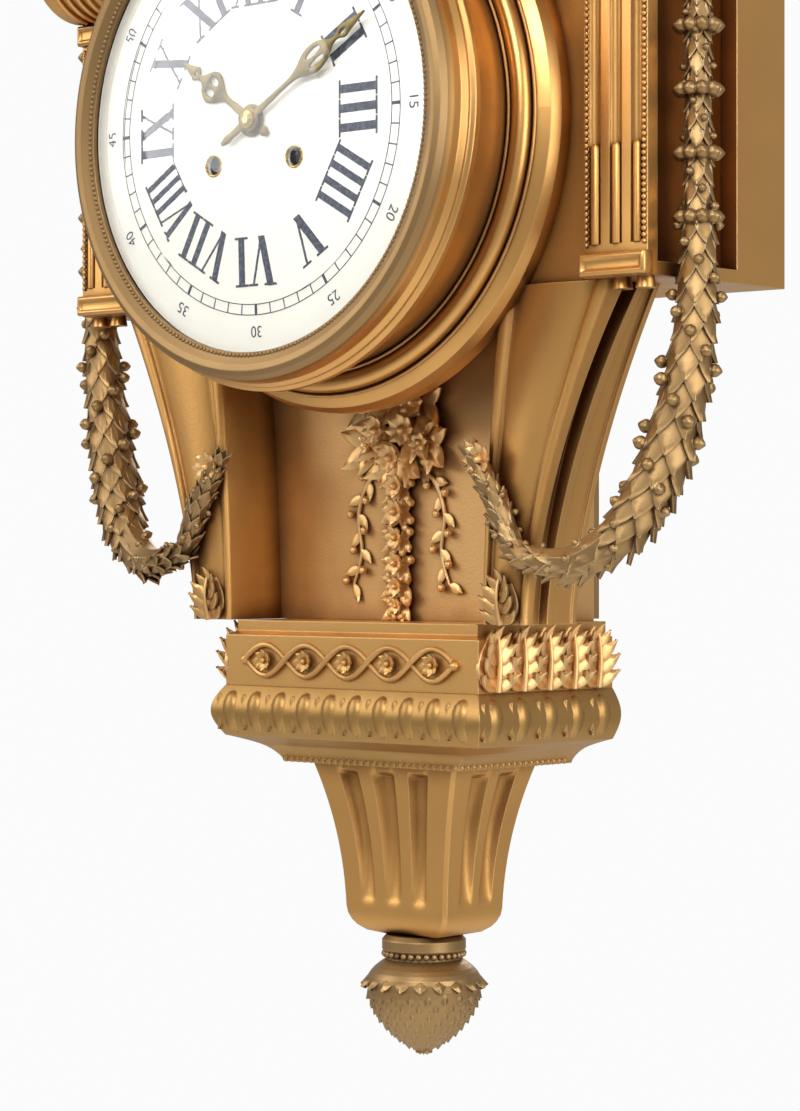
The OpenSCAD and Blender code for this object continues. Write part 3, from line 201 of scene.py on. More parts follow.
# Gilt bronze: warm where it is open, paler where edges are rubbed, and darker in the hollows: patina and
# painted shade in crevices, painted shade only in wide hollows
# Each look's deep tone is the colour of patina and painted shade in the hollows; its last two numbers set how
# much crevices (patina and painted shade) and wide hollows (painted shade) darken
giltLooks = {
    "burnishedGilt": {
        "open": (0.73, 0.395, 0.125), "rubbed": (1, 0.72, 0.40), "deep": (0.13, 0.037, 0.005),
        "rough": 0.32, "grain": 0.05, "reach": 0.011, "crevicePatinaAndShade": 1.15, "paintedWideShade": 0.6},
    "matGilt": {
        "open": (0.67, 0.365, 0.115), "rubbed": (0.95, 0.66, 0.35), "deep": (0.11, 0.03, 0.004),
        "rough": 0.45, "grain": 0.16, "reach": 0.013, "crevicePatinaAndShade": 1.2, "paintedWideShade": 1.15},
    "panelGilt": {
        "open": (0.74, 0.44, 0.18), "rubbed": (0.95, 0.66, 0.35), "deep": (0.12, 0.034, 0.005),
        "rough": 0.47, "grain": 0.2, "reach": 0.013, "crevicePatinaAndShade": 0.9, "paintedWideShade": 0.5},
    "leafGilt": {
        "open": (0.72, 0.43, 0.165), "rubbed": (1, 0.78, 0.47), "deep": (0.15, 0.05, 0.008),
        "rough": 0.40, "grain": 0.07, "reach": 0.006, "crevicePatinaAndShade": 0.6, "paintedWideShade": 0.15},
    "laurelGilt": {
        "open": (0.40, 0.25, 0.105), "rubbed": (0.84, 0.64, 0.39), "deep": (0.085, 0.034, 0.009),
        "rough": 0.42, "grain": 0.07, "reach": 0.007, "crevicePatinaAndShade": 0.8, "paintedWideShade": 0.3},
    # Painted light: a brighter copy of the gilt with little hollow shade, for the spray and the block's side
    # leaves, which lie in shade
    "paintedLightGilt": {
        "open": (0.95, 0.60, 0.25), "rubbed": (1, 0.84, 0.54), "deep": (0.26, 0.10, 0.02),
        "rough": 0.42, "grain": 0.07, "reach": 0.005, "crevicePatinaAndShade": 0.5, "paintedWideShade": 0.05},
    "blockGilt": {
        "open": (0.69, 0.39, 0.13), "rubbed": (0.95, 0.66, 0.35), "deep": (0.16, 0.054, 0.009),
        "rough": 0.42, "grain": 0.12, "reach": 0.005, "crevicePatinaAndShade": 0.45, "paintedWideShade": 0.3},
    "baseGilt": {
        "open": (0.47, 0.268, 0.086), "rubbed": (0.74, 0.49, 0.235), "deep": (0.13, 0.042, 0.007),
        "rough": 0.44, "grain": 0.12, "reach": 0.008, "crevicePatinaAndShade": 0.6, "paintedWideShade": 0.35},
    # Painted shade: a near-black gilt for the sheets that darken the pilaster recesses
    "recessShadeGilt": {
        "open": (0.20, 0.06, 0.007), "rubbed": (0.36, 0.17, 0.05), "deep": (0.05, 0.013, 0.002),
        "rough": 0.56, "grain": 0.4, "reach": 0.014, "crevicePatinaAndShade": 0.6, "paintedWideShade": 0.4},
    "backGilt": {
        "open": (0.40, 0.245, 0.105), "rubbed": (0.62, 0.41, 0.19), "deep": (0.06, 0.03, 0.01),
        "rough": 0.5, "grain": 0.2, "reach": 0.014, "crevicePatinaAndShade": 1.0, "paintedWideShade": 0.4}}
# The wide reach and level set where wide hollows take painted shade
giltWearAndShade = {"mottle": 38, "speck": 760, "edgeRadius": 0.0008, "edgeGain": 7, "rubbed": 0.6,
            "wideShadeReach": 0.06, "wideShadeLevel": 0.66, "patches": 0.55, "bump": 0.0005, "hollowRough": 0.22,
            "patchRough": 0.16, "metal": 0.92}


def giltFinish(name, look, paintedShadeFrom=None):
    finish = Finish(name)
    openTone, rubbedTone, patinaAndShadeTone = [colour(*look[part]) for part in ("open", "rubbed", "deep")]
    patch = finish.noise(giltWearAndShade["mottle"], 5) - 0.5
    speck = finish.noise(giltWearAndShade["speck"], 2)
    near, wide = [finish.add("ShaderNodeAmbientOcclusion", {"samples": 6}, {"Distance": reach}, "AO")
                  for reach in (look["reach"], giltWearAndShade["wideShadeReach"])]
    rounded = finish.add("ShaderNodeBevel", {"samples": 4}, {"Radius": giltWearAndShade["edgeRadius"]})
    flat = finish.add("ShaderNodeNewGeometry", out="Normal")
    edge = ((1 - rounded.dot(flat)) * giltWearAndShade["edgeGain"]).clamped()
    # Painted shade: ambient occlusion darkens crevices (partly patina) and wide hollows toward the deep tone,
    # with random patches
    hollow = ((1 - near) * look["crevicePatinaAndShade"] + (giltWearAndShade["wideShadeLevel"] - wide) * look["paintedWideShade"]
              + patch * giltWearAndShade["patches"]).clamped()
    tone = finish.mix(openTone, patinaAndShadeTone, hollow)
    tone = finish.mix(tone, rubbedTone, edge * near * giltWearAndShade["rubbed"])
    bump = finish.bump(look["grain"], giltWearAndShade["bump"], speck, rounded)
    rough = look["rough"] + hollow * giltWearAndShade["hollowRough"] + patch * giltWearAndShade["patchRough"]
    # Painted shade: the front of the piece is darker and rougher from this depth forward
    if paintedShadeFrom:
        forward = ((finish.place().dot((0, -1, 0)) - paintedShadeFrom["depth"]) * paintedShadeFrom["sharp"]).clamped()
        tone = finish.mix(tone, paintedShadeFrom["tone"], forward * paintedShadeFrom["share"])
        rough = rough + forward * paintedShadeFrom["rough"]
    return finish.surface({
        "Base Color": tone, "Metallic": giltWearAndShade["metal"], "Roughness": rough.clamped(), "Normal": bump})


# Worked metal inside the clock: brass and steel with the lines of the file or of the lathe
metalLooks = {
    "brass": {"tone": colour(0.72, 0.50, 0.18), "dull": colour(0.42, 0.27, 0.09), "rough": 0.26,
              "lines": (30, 900, 900)},
    "steel": {"tone": colour(0.55, 0.56, 0.58), "dull": colour(0.30, 0.29, 0.28), "rough": 0.24,
              "lines": (900, 900, 40)},
    "darkSteel": {"tone": colour(0.07, 0.07, 0.075), "dull": colour(0.03, 0.03, 0.03), "rough": 0.42,
                  "lines": (900, 900, 40)},
    "handGilt": {"tone": colour(0.19, 0.14, 0.055), "dull": colour(0.09, 0.065, 0.025), "rough": 0.36,
                 "lines": (300, 300, 300)}}


def metalFinish(name, look):
    finish = Finish(name)
    drawn = finish.add("ShaderNodeMapping", {}, {"Vector": finish.place(), "Scale": look["lines"]})
    lines = finish.add("ShaderNodeTexNoise", {}, {"Vector": drawn, "Scale": 1.0, "Detail": 3})
    stain = finish.noise(60, 4)
    tone = finish.mix(look["tone"], look["dull"], (stain - 0.35).clamped())
    bump = finish.bump(0.08, 0.0003, lines)
    rough = (look["rough"] + (lines - 0.5) * 0.2 + (stain - 0.5) * 0.14).clamped()
    return finish.surface({"Base Color": tone, "Metallic": 1, "Roughness": rough, "Normal": bump})


# The bell is turned, so its lines are rings about its own axis
def bellFinish(name):
    low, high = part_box("bell")
    middle = (low + high) / 2
    finish = Finish(name)
    shifted = finish.vector("SUBTRACT", finish.place(), (middle.x, 0, middle.z))
    level = finish.vector("MULTIPLY", shifted, (1, 0, 1))
    radius = finish.add("ShaderNodeVectorMath", {"operation": "LENGTH"}, {0: level}, 1)
    rings = (radius * 9000).sine() * 0.5 + 0.5
    tone = finish.mix(colour(0.62, 0.52, 0.30), colour(0.45, 0.36, 0.2), finish.noise(70, 4) * rings)
    bump = finish.bump(0.12, 0.0002, rings)
    rough = 0.24 + rings * 0.08
    return finish.surface({"Base Color": tone, "Metallic": 1, "Roughness": rough, "Normal": bump})


def enamelFinish(name):
    finish = Finish(name)
    cloud = finish.noise(18, 4)
    tone = finish.mix(colour(0.80, 0.775, 0.70), colour(0.74, 0.715, 0.635), cloud)
    ripple = finish.bump(0.03, 0.0005, finish.noise(90, 1))
    return finish.surface({
        "Base Color": tone, "Roughness": 0.14 + cloud * 0.05, "Normal": ripple, "Coat Weight": 0.3})


def inkFinish(name):
    finish = Finish(name)
    worn = finish.noise(500, 3)
    tone = finish.mix(colour(0.012, 0.017, 0.035), colour(0.05, 0.06, 0.09), worn)
    return finish.surface({"Base Color": tone, "Roughness": 0.22 + worn * 0.1})


def glassFinish(name):
    finish = Finish(name)
    smear = finish.noise(25, 3)
    pane = finish.add("ShaderNodeBsdfPrincipled", {}, {
        "Base Color": colour(1, 1, 1), "Roughness": 0.005 + smear * 0.015, "IOR": 1.45,
        "Transmission Weight": 1})
    clear = finish.add("ShaderNodeBsdfTransparent", {}, {"Color": colour(0.97, 0.98, 0.98)})
    lampRay = finish.add("ShaderNodeLightPath", out="Is Shadow Ray")
    return finish.done(finish.add("ShaderNodeMixShader", {}, {0: lampRay, 1: pane, 2: clear}))


finishes = {name: giltFinish(name, look) for name, look in giltLooks.items()}
finishes.update({name: metalFinish(name, look) for name, look in metalLooks.items()})
# Painted shade on the bezel's front lip and its beads
bezelFrontShade = {"depth": 0.1595, "sharp": 400, "tone": colour(0.24, 0.165, 0.085), "share": 0.75,
              "rough": 0.12}
finishes["bezelShadedGilt"] = giltFinish("bezelShadedGilt", giltLooks["burnishedGilt"], bezelFrontShade)
finishes["bellMetal"] = bellFinish("bellMetal")
finishes["enamel"] = enamelFinish("enamel")
finishes["dialInk"] = inkFinish("dialInk")
finishes["clockGlass"] = glassFinish("clockGlass")

# What each node of the frame is finished in: a node not named here takes its record slot's finish
slotFinish = {"gilt_bronze": "burnishedGilt", "brass": "brass", "hand_gilt": "handGilt", "steel": "steel",
              "bell_metal": "bellMetal", "enamel": "enamel", "glass": "clockGlass"}
nodeFinish = {"back_plate": "backGilt", "rear_door": "backGilt", "case_body": "matGilt",
              "lower_case": "panelGilt", "crest": "matGilt", "base_block": "blockGilt",
              "base_moulding": "baseGilt", "finial": "laurelGilt", "bezel": "bezelShadedGilt",
              "console_left": "matGilt", "console_right": "matGilt", "going_arbor": "darkSteel",
              "strike_arbor": "darkSteel"}
for part in frame["record"]["subparts"]:
    node = frame["nodes"][part["node"]]
    chosen = nodeFinish.get(part["node"], slotFinish[part["material_slot"]])
    node.data.materials.clear()
    node.data.materials.append(finishes[chosen])
print("finishes set on", len(frame["nodes"]), "nodes")


# Modelling by hand. Pieces are drawn in millimetres about the dial's axis, with the wall at y = 0
def deselect():
    if bpy.context.mode != "OBJECT":
        bpy.ops.object.mode_set(mode="OBJECT")
    bpy.ops.object.select_all(action="DESELECT")


def leaveEdit():
    bpy.ops.object.mode_set(mode="OBJECT")


def choose(piece):
    deselect()
    piece.select_set(True)
    bpy.context.view_layer.objects.active = piece


# A new piece from a ready-made shape
def fresh(shape, **settings):
    deselect()
    shape(**settings)
    return bpy.context.object


def settle(piece):
    choose(piece)
    bpy.ops.object.transform_apply(location=True, rotation=True, scale=True)
    return piece


def pick(piece, kind, test):  # leaves the piece in edit mode with what passes the test selected
    choose(piece)
    bpy.ops.object.mode_set(mode="EDIT")
    bpy.ops.mesh.select_mode(type=kind)
    bpy.ops.mesh.select_all(action="DESELECT")
    leaveEdit()
    for part in piece.data.vertices if kind == "VERT" else piece.data.polygons:
        part.select = test(part.co) if kind == "VERT" else test(part.center, part.normal)
    bpy.ops.object.mode_set(mode="EDIT")


def editAll(piece):
    choose(piece)
    bpy.ops.object.mode_set(mode="EDIT")
    bpy.ops.mesh.select_all(action="SELECT")


def outward(piece):
    editAll(piece)
    bpy.ops.mesh.remove_doubles(threshold=0.004)
    bpy.ops.mesh.normals_make_consistent(inside=False)
    leaveEdit()
    return piece


def modify(piece, kind, **settings):
    modifier = piece.modifiers.new(kind.lower(), kind)
    for key, value in settings.items():
        setattr(modifier, key, value)
    choose(piece)
    bpy.ops.object.modifier_apply(modifier=modifier.name)
    return piece


def joined(parts):
    deselect()
    for part in parts:
        part.select_set(True)
    bpy.context.view_layer.objects.active = parts[0]
    if len(parts) > 1:
        bpy.ops.object.join()
    return bpy.context.view_layer.objects.active


def copies(master, places):  # uses the master up
    made = []
    for place in places:
        copy = master.copy()
        copy.data = master.data.copy()
        copy.data.transform(place)
        scene.collection.objects.link(copy)
        made.append(copy)
    bpy.data.objects.remove(master)
    return joined(made)


def mirrored(piece):
    copy = piece.copy()
    copy.data = piece.data.copy()
    copy.data.transform(Matrix.Diagonal((-1, 1, 1, 1)))
    scene.collection.objects.link(copy)
    editAll(copy)
    bpy.ops.mesh.flip_normals()
    leaveEdit()
    return copy


def bothSides(piece):
    return joined([piece, mirrored(piece)])


def held(value):
    return max(0, min(1, value))


def at(across, depth, rise):
    return Vector((across, -depth, rise))


def moved(piece, place, turn=0, axis="X"):
    piece.data.transform(Matrix.Translation(place) @ Matrix.Rotation(math.radians(turn), 4, axis))
    return piece


def slab(place, size):
    block = fresh(bpy.ops.mesh.primitive_cube_add, size=1, location=place)
    block.scale = size
    return settle(block)


front = Vector((0, -1, 0))
upward = Vector((0, 0, 1))
facing = (math.radians(90), 0, 0)  # turns a flat shape to face the front


# Where a copy goes: its own z grows along grow, and its own -y faces out
def stand(place, grow, out, size=1.0):
    z = grow.normalized()
    y = -(out - out.dot(z) * z).normalized()
    turn = Matrix((y.cross(z), y, z)).transposed().to_4x4()
    return Matrix.Translation(place) @ turn @ Matrix.Diagonal((size, size, size, 1))


def complete(piece, name, finish, body="case", smooth=38, stands=()):
    piece.data.transform(Matrix.Translation((0, 0, axisZ)) @ Matrix.Diagonal((mm, mm, mm, 1)))
    piece.name = name
    piece.data.name = name
    piece.data.materials.clear()
    piece.data.materials.append(finishes[finish])
    choose(piece)
    bpy.ops.object.shade_smooth_by_angle(angle=math.radians(smooth))
    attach(piece, body)
    if stands:
        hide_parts(*stands)
    print(name, len(piece.data.polygons), "faces")
    return piece


# A smooth line through points, with this many steps from each to the next
def smoothLine(points, steps):
    line = []
    for i in range(len(points) - 1):
        a, b = points[max(i - 1, 0)], points[i]
        c, d = points[i + 1], points[min(i + 2, len(points) - 1)]
        for k in range(steps):
            t = k / steps
            line.append(0.5 * (2 * b + (c - a) * t + (2 * a - 5 * b + 4 * c - d) * t ** 2
                               + (3 * b - a - 3 * c + d) * t ** 3))
    return line + [points[-1]]


# Stops along a line at an even pitch: place, direction and share of the way
def stops(line, pitch):
    lengths = [0]
    for a, b in zip(line, line[1:]):
        lengths.append(lengths[-1] + (b - a).length)
    count = max(1, round(lengths[-1] / pitch))
    found = []
    for k in range(count + 1):
        goal = lengths[-1] * k / count
        i = max(0, min(len(line) - 2, next(j for j, done in enumerate(lengths) if done >= goal - 1e-9) - 1))
        part = (goal - lengths[i]) / max(lengths[i + 1] - lengths[i], 1e-9)
        found.append((line[i].lerp(line[i + 1], part), (line[i + 1] - line[i]).normalized(), k / count))
    return found


def sweep(line, radius, sizes=None, closed=False, sides=2):
    curve = bpy.data.curves.new("sweep", "CURVE")
    curve.dimensions = "3D"
    curve.bevel_depth = radius
    curve.bevel_resolution = sides
    curve.use_fill_caps = True
    spline = curve.splines.new("POLY")
    spline.points.add(len(line) - 1)
    for i, place in enumerate(line):
        spline.points[i].co = (*place, 1)
        spline.points[i].radius = sizes[i] if sizes else 1
    spline.use_cyclic_u = closed
    tube = bpy.data.objects.new("sweep", curve)
    scene.collection.objects.link(tube)
    choose(tube)
    bpy.ops.object.convert(target="MESH")
    return outward(bpy.context.view_layer.objects.active)


# A leaf that grows up from the origin and faces the front: a grid whose rows are drawn in and curled
def leafBlade(length, width, thick, curl=0.1, ridge=0.1, rows=6, belly=0.8):
    leaf = fresh(bpy.ops.mesh.primitive_grid_add, x_subdivisions=2, y_subdivisions=rows, size=1,
                 rotation=facing)
    leaf.scale = (width, length, 1)
    leaf.location = (0, 0, length / 2)
    settle(leaf)
    for row in range(rows + 1):
        share = row / rows
        height = length * share
        pick(leaf, "VERT", lambda co: abs(co.z - height) < length / rows / 3)
        breadth = max(0.06, math.sin(math.pi * min(1, 0.06 + 0.94 * share ** belly)) ** 0.8)
        bpy.ops.transform.resize(value=(breadth, 1, 1), center_override=(0, 0, height))
        bpy.ops.transform.translate(value=(0, -curl * length * (share ** 2.4), 0))
    pick(leaf, "VERT", lambda co: abs(co.x) < width * 0.01)
    bpy.ops.transform.translate(value=(0, -ridge * width, 0))
    leaveEdit()
    modify(leaf, "SOLIDIFY", thickness=thick, offset=-1)
    return outward(leaf)


def berryBall(radius):
    ball = fresh(bpy.ops.mesh.primitive_uv_sphere_add, segments=8, ring_count=6, radius=radius)
    pick(ball, "FACE", lambda middle, normal: normal.z > 0.8)
    bpy.ops.mesh.extrude_region_move(TRANSFORM_OT_translate={"value": (0, 0, radius * 0.2)})
    bpy.ops.transform.resize(value=(0.5, 0.5, 1), center_override=(0, 0, radius))
    leaveEdit()
    return outward(ball)


def beadRow(line, radius, pitch=2.3):
    bead = berryBall(radius)
    return copies(bead, [Matrix.Translation(place) for place, along, share in stops(line, radius * pitch)])


# A circle about the dial's axis, closed by its first point
def circleLine(radius, depth, count=96):
    return [at(radius * math.sin(math.tau * k / count), depth, radius * math.cos(math.tau * k / count))
            for k in range(count + 1)]


# Places on a level circle, each with its direction outward
def around(count, radius, depth, rise, shift=0.0):
    for k in range(count):
        turn = math.tau * (k + shift) / count
        out = Vector((math.sin(turn), -math.cos(turn), 0))
        yield at(0, depth, rise) + out * radius, out


def hoopLine(count, radius, depth, rise):
    ring = [place for place, out in around(count, radius, depth, rise)]
    return ring + ring[:1]


# A line along the left side, front and right side of a block
def threeSides(half, back, depth, rise):
    return [at(-half, back, rise), at(-half, depth, rise), at(half, depth, rise), at(half, back, rise)]


laurel = {"leafWide": 0.54, "seat": 0.75, "splay": 0.13, "berryTurn": 2.4}


# Leaves and berries round a core, as on the garlands
def laurelRope(line, shape, sizes):
    core = sweep(line, shape["core"], sizes)
    blade = leafBlade(shape["leaf"], shape["leaf"] * laurel["leafWide"], shape["thick"], 0.1, 0.1, 5)
    berry = berryBall(shape["berry"])
    leaves, berries = [], []
    for k, (place, along, share) in enumerate(stops(line, shape["pitch"])):
        size = sizes[round(share * (len(sizes) - 1))]
        side = along.orthogonal().normalized()
        if abs(along.y) < 0.9:
            side = along.cross(Vector((0, 1, 0))).normalized()
        over = along.cross(side)
        for n in range(shape["round"]):
            turn = math.tau * (n + 0.5 * (k % 2)) / shape["round"]
            out = side * math.cos(turn) + over * math.sin(turn)
            seat = place + out * shape["core"] * laurel["seat"] * size
            leaves.append(stand(seat, along + out * laurel["splay"], out, size))
        for n in range(shape["berries"]):
            turn = laurel["berryTurn"] * k + math.tau * n / shape["berries"]
            out = side * math.cos(turn) + over * math.sin(turn)
            berries.append(stand(place + out * shape["reach"] * size, out, along, size))
    return joined([core, copies(blade, leaves), copies(berry, berries)])


# Shares of the leaf's length and width, and the leaflets' lean in degrees at its foot and how much they close
carvedLeaf = {"leaflet": 0.62, "leafletWide": 0.3, "lean": 64, "closing": 40, "foot": 0.04, "leafy": 0.72,
              "tip": 0.3, "ground": 0.94, "groundWide": 0.86, "rib": 0.9, "ribWide": 0.05, "ribSteps": 8}


# A carved leaf of many leaflets on a stem, growing up from the origin and facing the front
def acanthus(length, width, pairs, lift, thick):
    leaflet = width * carvedLeaf["leaflet"]
    blade = leafBlade(leaflet, width * carvedLeaf["leafletWide"], thick, 0.22, 0.16, 5)
    rise = lift * length * 0.5
    places = []
    for pair in range(pairs):
        share = pair / pairs
        size = (1 - 0.45 * share) * (0.82 + 0.18 * math.sin(math.pi * share))
        lean = math.radians(carvedLeaf["lean"] - carvedLeaf["closing"] * share)
        for side in (-1, 1):
            grow = Vector((side * math.sin(lean), -0.12, math.cos(lean)))
            root = at(side * width * carvedLeaf["foot"], rise * math.sin(math.pi * share),
                      length * (carvedLeaf["foot"] + carvedLeaf["leafy"] * share))
            places.append(stand(root, grow, Vector((-side * 0.25, -1, 0.2)), size))
    tip = at(0, lift * length * carvedLeaf["tip"], length * carvedLeaf["leafy"])
    places.append(stand(tip, Vector((0, -0.3, 1)), front, length * carvedLeaf["tip"] / leaflet))
    leaflets = copies(blade, places)
    ground = leafBlade(length * carvedLeaf["ground"], width * carvedLeaf["groundWide"], thick, -lift * 0.4,
                       0.05, 8, 0.72)
    moved(ground, at(0, lift * length * 0.16, 0))
    shares = [k / carvedLeaf["ribSteps"] for k in range(carvedLeaf["ribSteps"] + 1)]
    rib = [at(0, thick + rise * math.sin(math.pi * share), length * carvedLeaf["rib"] * share)
           for share in shares]
    stem = sweep(rib, width * carvedLeaf["ribWide"], [1.2 - 0.8 * share for share in shares])
    return joined([leaflets, ground, stem])


petal = {"long": 0.95, "wide": 0.62, "button": 0.26, "buttonOut": 0.24}


# Petals round a button, facing the front
def rosette(radius, petals=8, thick=1.2):
    blade = leafBlade(radius * petal["long"], radius * petal["wide"], thick, 0.2, 0.16, 5, 1.3)
    places = []
    for k in range(petals):
        turn = math.tau * k / petals
        places.append(stand(Vector((0, -0.3, 0)), Vector((math.sin(turn), -0.25, math.cos(turn))), front))
    flower = copies(blade, places)
    button = moved(berryBall(radius * petal["button"]), at(0, radius * petal["buttonOut"], 0), 90)
    return joined([flower, button])


# Stops along the left side, front and right side of a block that stands on the wall
def roundTheBlock(half, depth, back, pitch, margin):
    found = []
    frontCount = max(1, int((2 * half - 2 * margin) / pitch))
    for k in range(frontCount + 1):
        found.append(((2 * k / frontCount - 1) * (half - margin), depth, front))
    sideCount = max(1, int((depth - back - 2 * margin) / pitch))
    for k in range(sideCount + 1):
        place = back + margin + (depth - back - 2 * margin) * k / sideCount
        found += [(side * half, place, Vector((side, 0, 0))) for side in (-1, 1)]
    return found


def lofted(rings):
    count = len(rings[0])
    faces = []
    for k in range(0, (len(rings) - 1) * count, count):
        for i in range(count):
            j = (i + 1) % count
            faces.append([k + i, k + j, k + count + j, k + count + i])
    faces += [list(range(count))[::-1], [(len(rings) - 1) * count + i for i in range(count)]]
    mesh = bpy.data.meshes.new("loft")
    mesh.from_pydata([place for ring in rings for place in ring], [], faces)
    piece = bpy.data.objects.new("loft", mesh)
    scene.collection.objects.link(piece)
    return outward(piece)


print("tools ready")

# Garlands
case = extent("case_body")
pilaster = extent("pilaster_right")
console = extent("console_right")
rope = extent("garland_right")
base = extent("base_block")
consoleTall = case["low"] - base["high"]
consoleSweep = {"footOut": 104, "headWide": 62, "power": 1.6}
garland = {"radius": 11, "core": 6.2, "leaf": 17, "thick": 1.3, "pitch": 7.4, "round": 6, "berry": 2.2,
           "berries": 2, "reach": 8.6, "drop": 196, "turnUp": 6, "overlap": 0.4, "clear": 6.35,
           "climb": 0.26, "knots": 5, "knotPitch": 27, "knotStart": 4, "knotRound": 9, "knotBerry": 3.3,
           "knotReach": 1.22}
# Shares of the way in, forward and down to where the loop turns up, each with a size
garlandLoop = [(0.02, 0, 0.15, 0.95), (0.08, 0.05, 0.39, 1.14), (0.19, 0.19, 0.645, 1.3),
               (0.36, 0.46, 0.87, 1.44), (0.59, 0.72, 0.99, 1.36), (0.8, 0.98, 1, 1.0)]
# Share of the way across the console, height over it, share of the way up, and size
garlandClimb = [(0, 0, 0, 0.74), (0.46, 0.3, 0.5, 0.74), (1, 0, 1, 0.55)]


def consoleEdge(rise, foot, head):
    share = max(0, (rise - base["high"]) / consoleTall)
    return foot + (head - foot) * share ** consoleSweep["power"]


def consoleInner(rise):
    return consoleEdge(rise, console["left"], console["right"] - consoleSweep["headWide"])


def consoleOuter(rise):
    return consoleEdge(rise, consoleSweep["footOut"], console["right"])


def garlandStops():
    x = rope["right"] - garland["radius"]
    depth = rope["back"] + garland["radius"]
    over = console["front"] + garland["clear"]
    turnZ = garland["turnUp"] - garland["drop"]
    turn = at(consoleOuter(turnZ) - garland["radius"] * garland["overlap"], over, turnZ)
    endZ = turnZ + consoleTall * garland["climb"]
    end = at(consoleInner(endZ) - 1, over, endZ)
    points = [(x, -depth, z, size) for z, size in
              ((rope["high"], 0.6), (rope["high"] - 40, 0.74), (0, 0.74), (case["low"] + 12, 0.78))]
    for inward, forward, down, size in garlandLoop:
        points.append((x + (turn.x - x) * inward, -depth + (turn.y + depth) * forward,
                       case["low"] - (garland["drop"] + case["low"]) * down, size))
    for inward, proud, rise, size in garlandClimb:
        points.append((turn.x + (end.x - turn.x) * inward, turn.y - proud,
                       turn.z + (end.z - turn.z) * rise, size))
    return smoothLine([Vector(point) for point in points], 4)


sized = garlandStops()
line = [place.to_3d() for place in sized]
garlandEnd = line[-1]
right = laurelRope(line, garland, [place.w for place in sized])
knots = []
for k in range(1, garland["knots"] + 1):
    middle = Vector((line[0].x, line[0].y, rope["high"] + garland["knotStart"] - garland["knotPitch"] * k))
    for n in range(garland["knotRound"]):
        turn = math.tau * n / garland["knotRound"]
        out = Vector((math.cos(turn), math.sin(turn), 0))
        knots.append(stand(middle + out * garland["core"] * garland["knotReach"], out, upward))
right = joined([right, copies(berryBall(garland["knotBerry"]), knots)])
left = mirrored(right)
complete(right, "laurelGarlandRight", "laurelGilt", stands=["garland_right"])
complete(left, "laurelGarlandLeft", "laurelGilt", stands=["garland_left"])

# Swags from the urn's rings to the ends of the cornice
handles = extent("urn_handles")
swags = extent("urn_swags")
cornice = extent("cornice")
swag = {"core": 3.4, "leaf": 13, "thick": 1.1, "pitch": 6, "round": 5, "berry": 1.7, "berries": 2,
        "reach": 6, "radius": 7, "end": 0.55, "ring": 13.5, "underRing": 11, "clear": 0.3, "short": 12}
fall = [(0, 1), (0.06, 0.66), (0.22, 0.42), (0.48, 0.24), (0.76, 0.12), (1, 0)]
ringX = handles["right"] - swag["ring"]
ringZ = (handles["high"] + handles["low"]) / 2 - swag["underRing"]
endZ = cornice["high"] + swag["radius"] * swag["end"] + swag["clear"]
depth = (swags["front"] + swags["back"]) / 2
reach = pilaster["right"] - swag["short"] - ringX
line = smoothLine([at(ringX + reach * out, depth, endZ + (ringZ - endZ) * down) for out, down in fall], 5)
last = len(line) - 1
sizes = [swag["end"] + (1 - swag["end"]) * math.sin(math.pi * i / last) for i in range(len(line))]
complete(bothSides(laurelRope(line, swag, sizes)), "laurelSwags", "laurelGilt", stands=["urn_swags"])

# Spray on the panel: a bunch of flowers in leaves, a drop of smaller ones, and two thin sprigs beside it
panelFace = extent("leaf_spray")["back"]
sprayShape = {"leaf": 15, "leafWide": 7.6, "thick": 1.1, "berry": 2.0, "lift": 2.5, "leafLift": 1.5,
              "berryLift": 3.2, "berryReach": 1.25, "spin": 3.7, "lean": 1.4, "sprig": 1.1, "sprigPitch": 9,
              "sprigLeaf": 0.62, "sprigBerry": 4}
# How far flowers stand out, how large leaves are, and flowers by distance from the axis, height and radius
bunch = {"out": 0.75, "leaf": 1.25,
         "flowers": ((0, -119, 9), (13, -122, 7.5), (8, -135, 8.5), (0, -148, 8), (16, -141, 5.5))}
drop = {"out": 0.4, "leaf": 0.72,
        "flowers": ((0, -161, 6.6), (0, -173, 7), (0, -185, 6.2), (0, -197, 6.4), (0, -208, 5.4),
                    (0, -217, 4.4))}
leafTurns = [(62, 1.0), (118, 1.1), (150, 0.9)]
sprigLine = [(6, -150), (20, -158), (27, -174), (25, -192), (30, -207)]
endFlower = {"radius": 8.5, "proud": 7.4, "aside": 4}
blade = leafBlade(sprayShape["leaf"], sprayShape["leafWide"], sprayShape["thick"], 0.1, 0.14, 5)
berry = berryBall(sprayShape["berry"])
parts, leaves, berries = [], [], []
placed = [(group, flower) for group in (bunch, drop) for flower in group["flowers"]]
for k, (group, (x, z, radius)) in enumerate(placed):
    depth = panelFace + (sprayShape["lift"] + radius * group["out"])
    for side in ((-1, 1) if x else (1,)):
        flower = moved(rosette(radius, 6 + (round(radius) % 3), sprayShape["thick"]), at(0, 0, 0),
                       sprayShape["spin"] * z, "Y")
        parts.append(moved(flower, at(side * x, depth, z), side * x * sprayShape["lean"], "Z"))
    reach = radius * sprayShape["berryReach"]
    for side in (-1, 1):
        for turn, size in leafTurns:
            turn = math.radians(side * (turn + 9 * (k % 3)))
            grow = Vector((math.sin(turn), -0.22, math.cos(turn)))
            spot = at(side * x, panelFace + sprayShape["leafLift"], z)
            leaves.append(stand(spot, grow, front, size * group["leaf"]))
            spot = at(side * x + grow.x * reach, panelFace + sprayShape["berryLift"], z + grow.z * reach)
            berries.append(Matrix.Translation(spot))
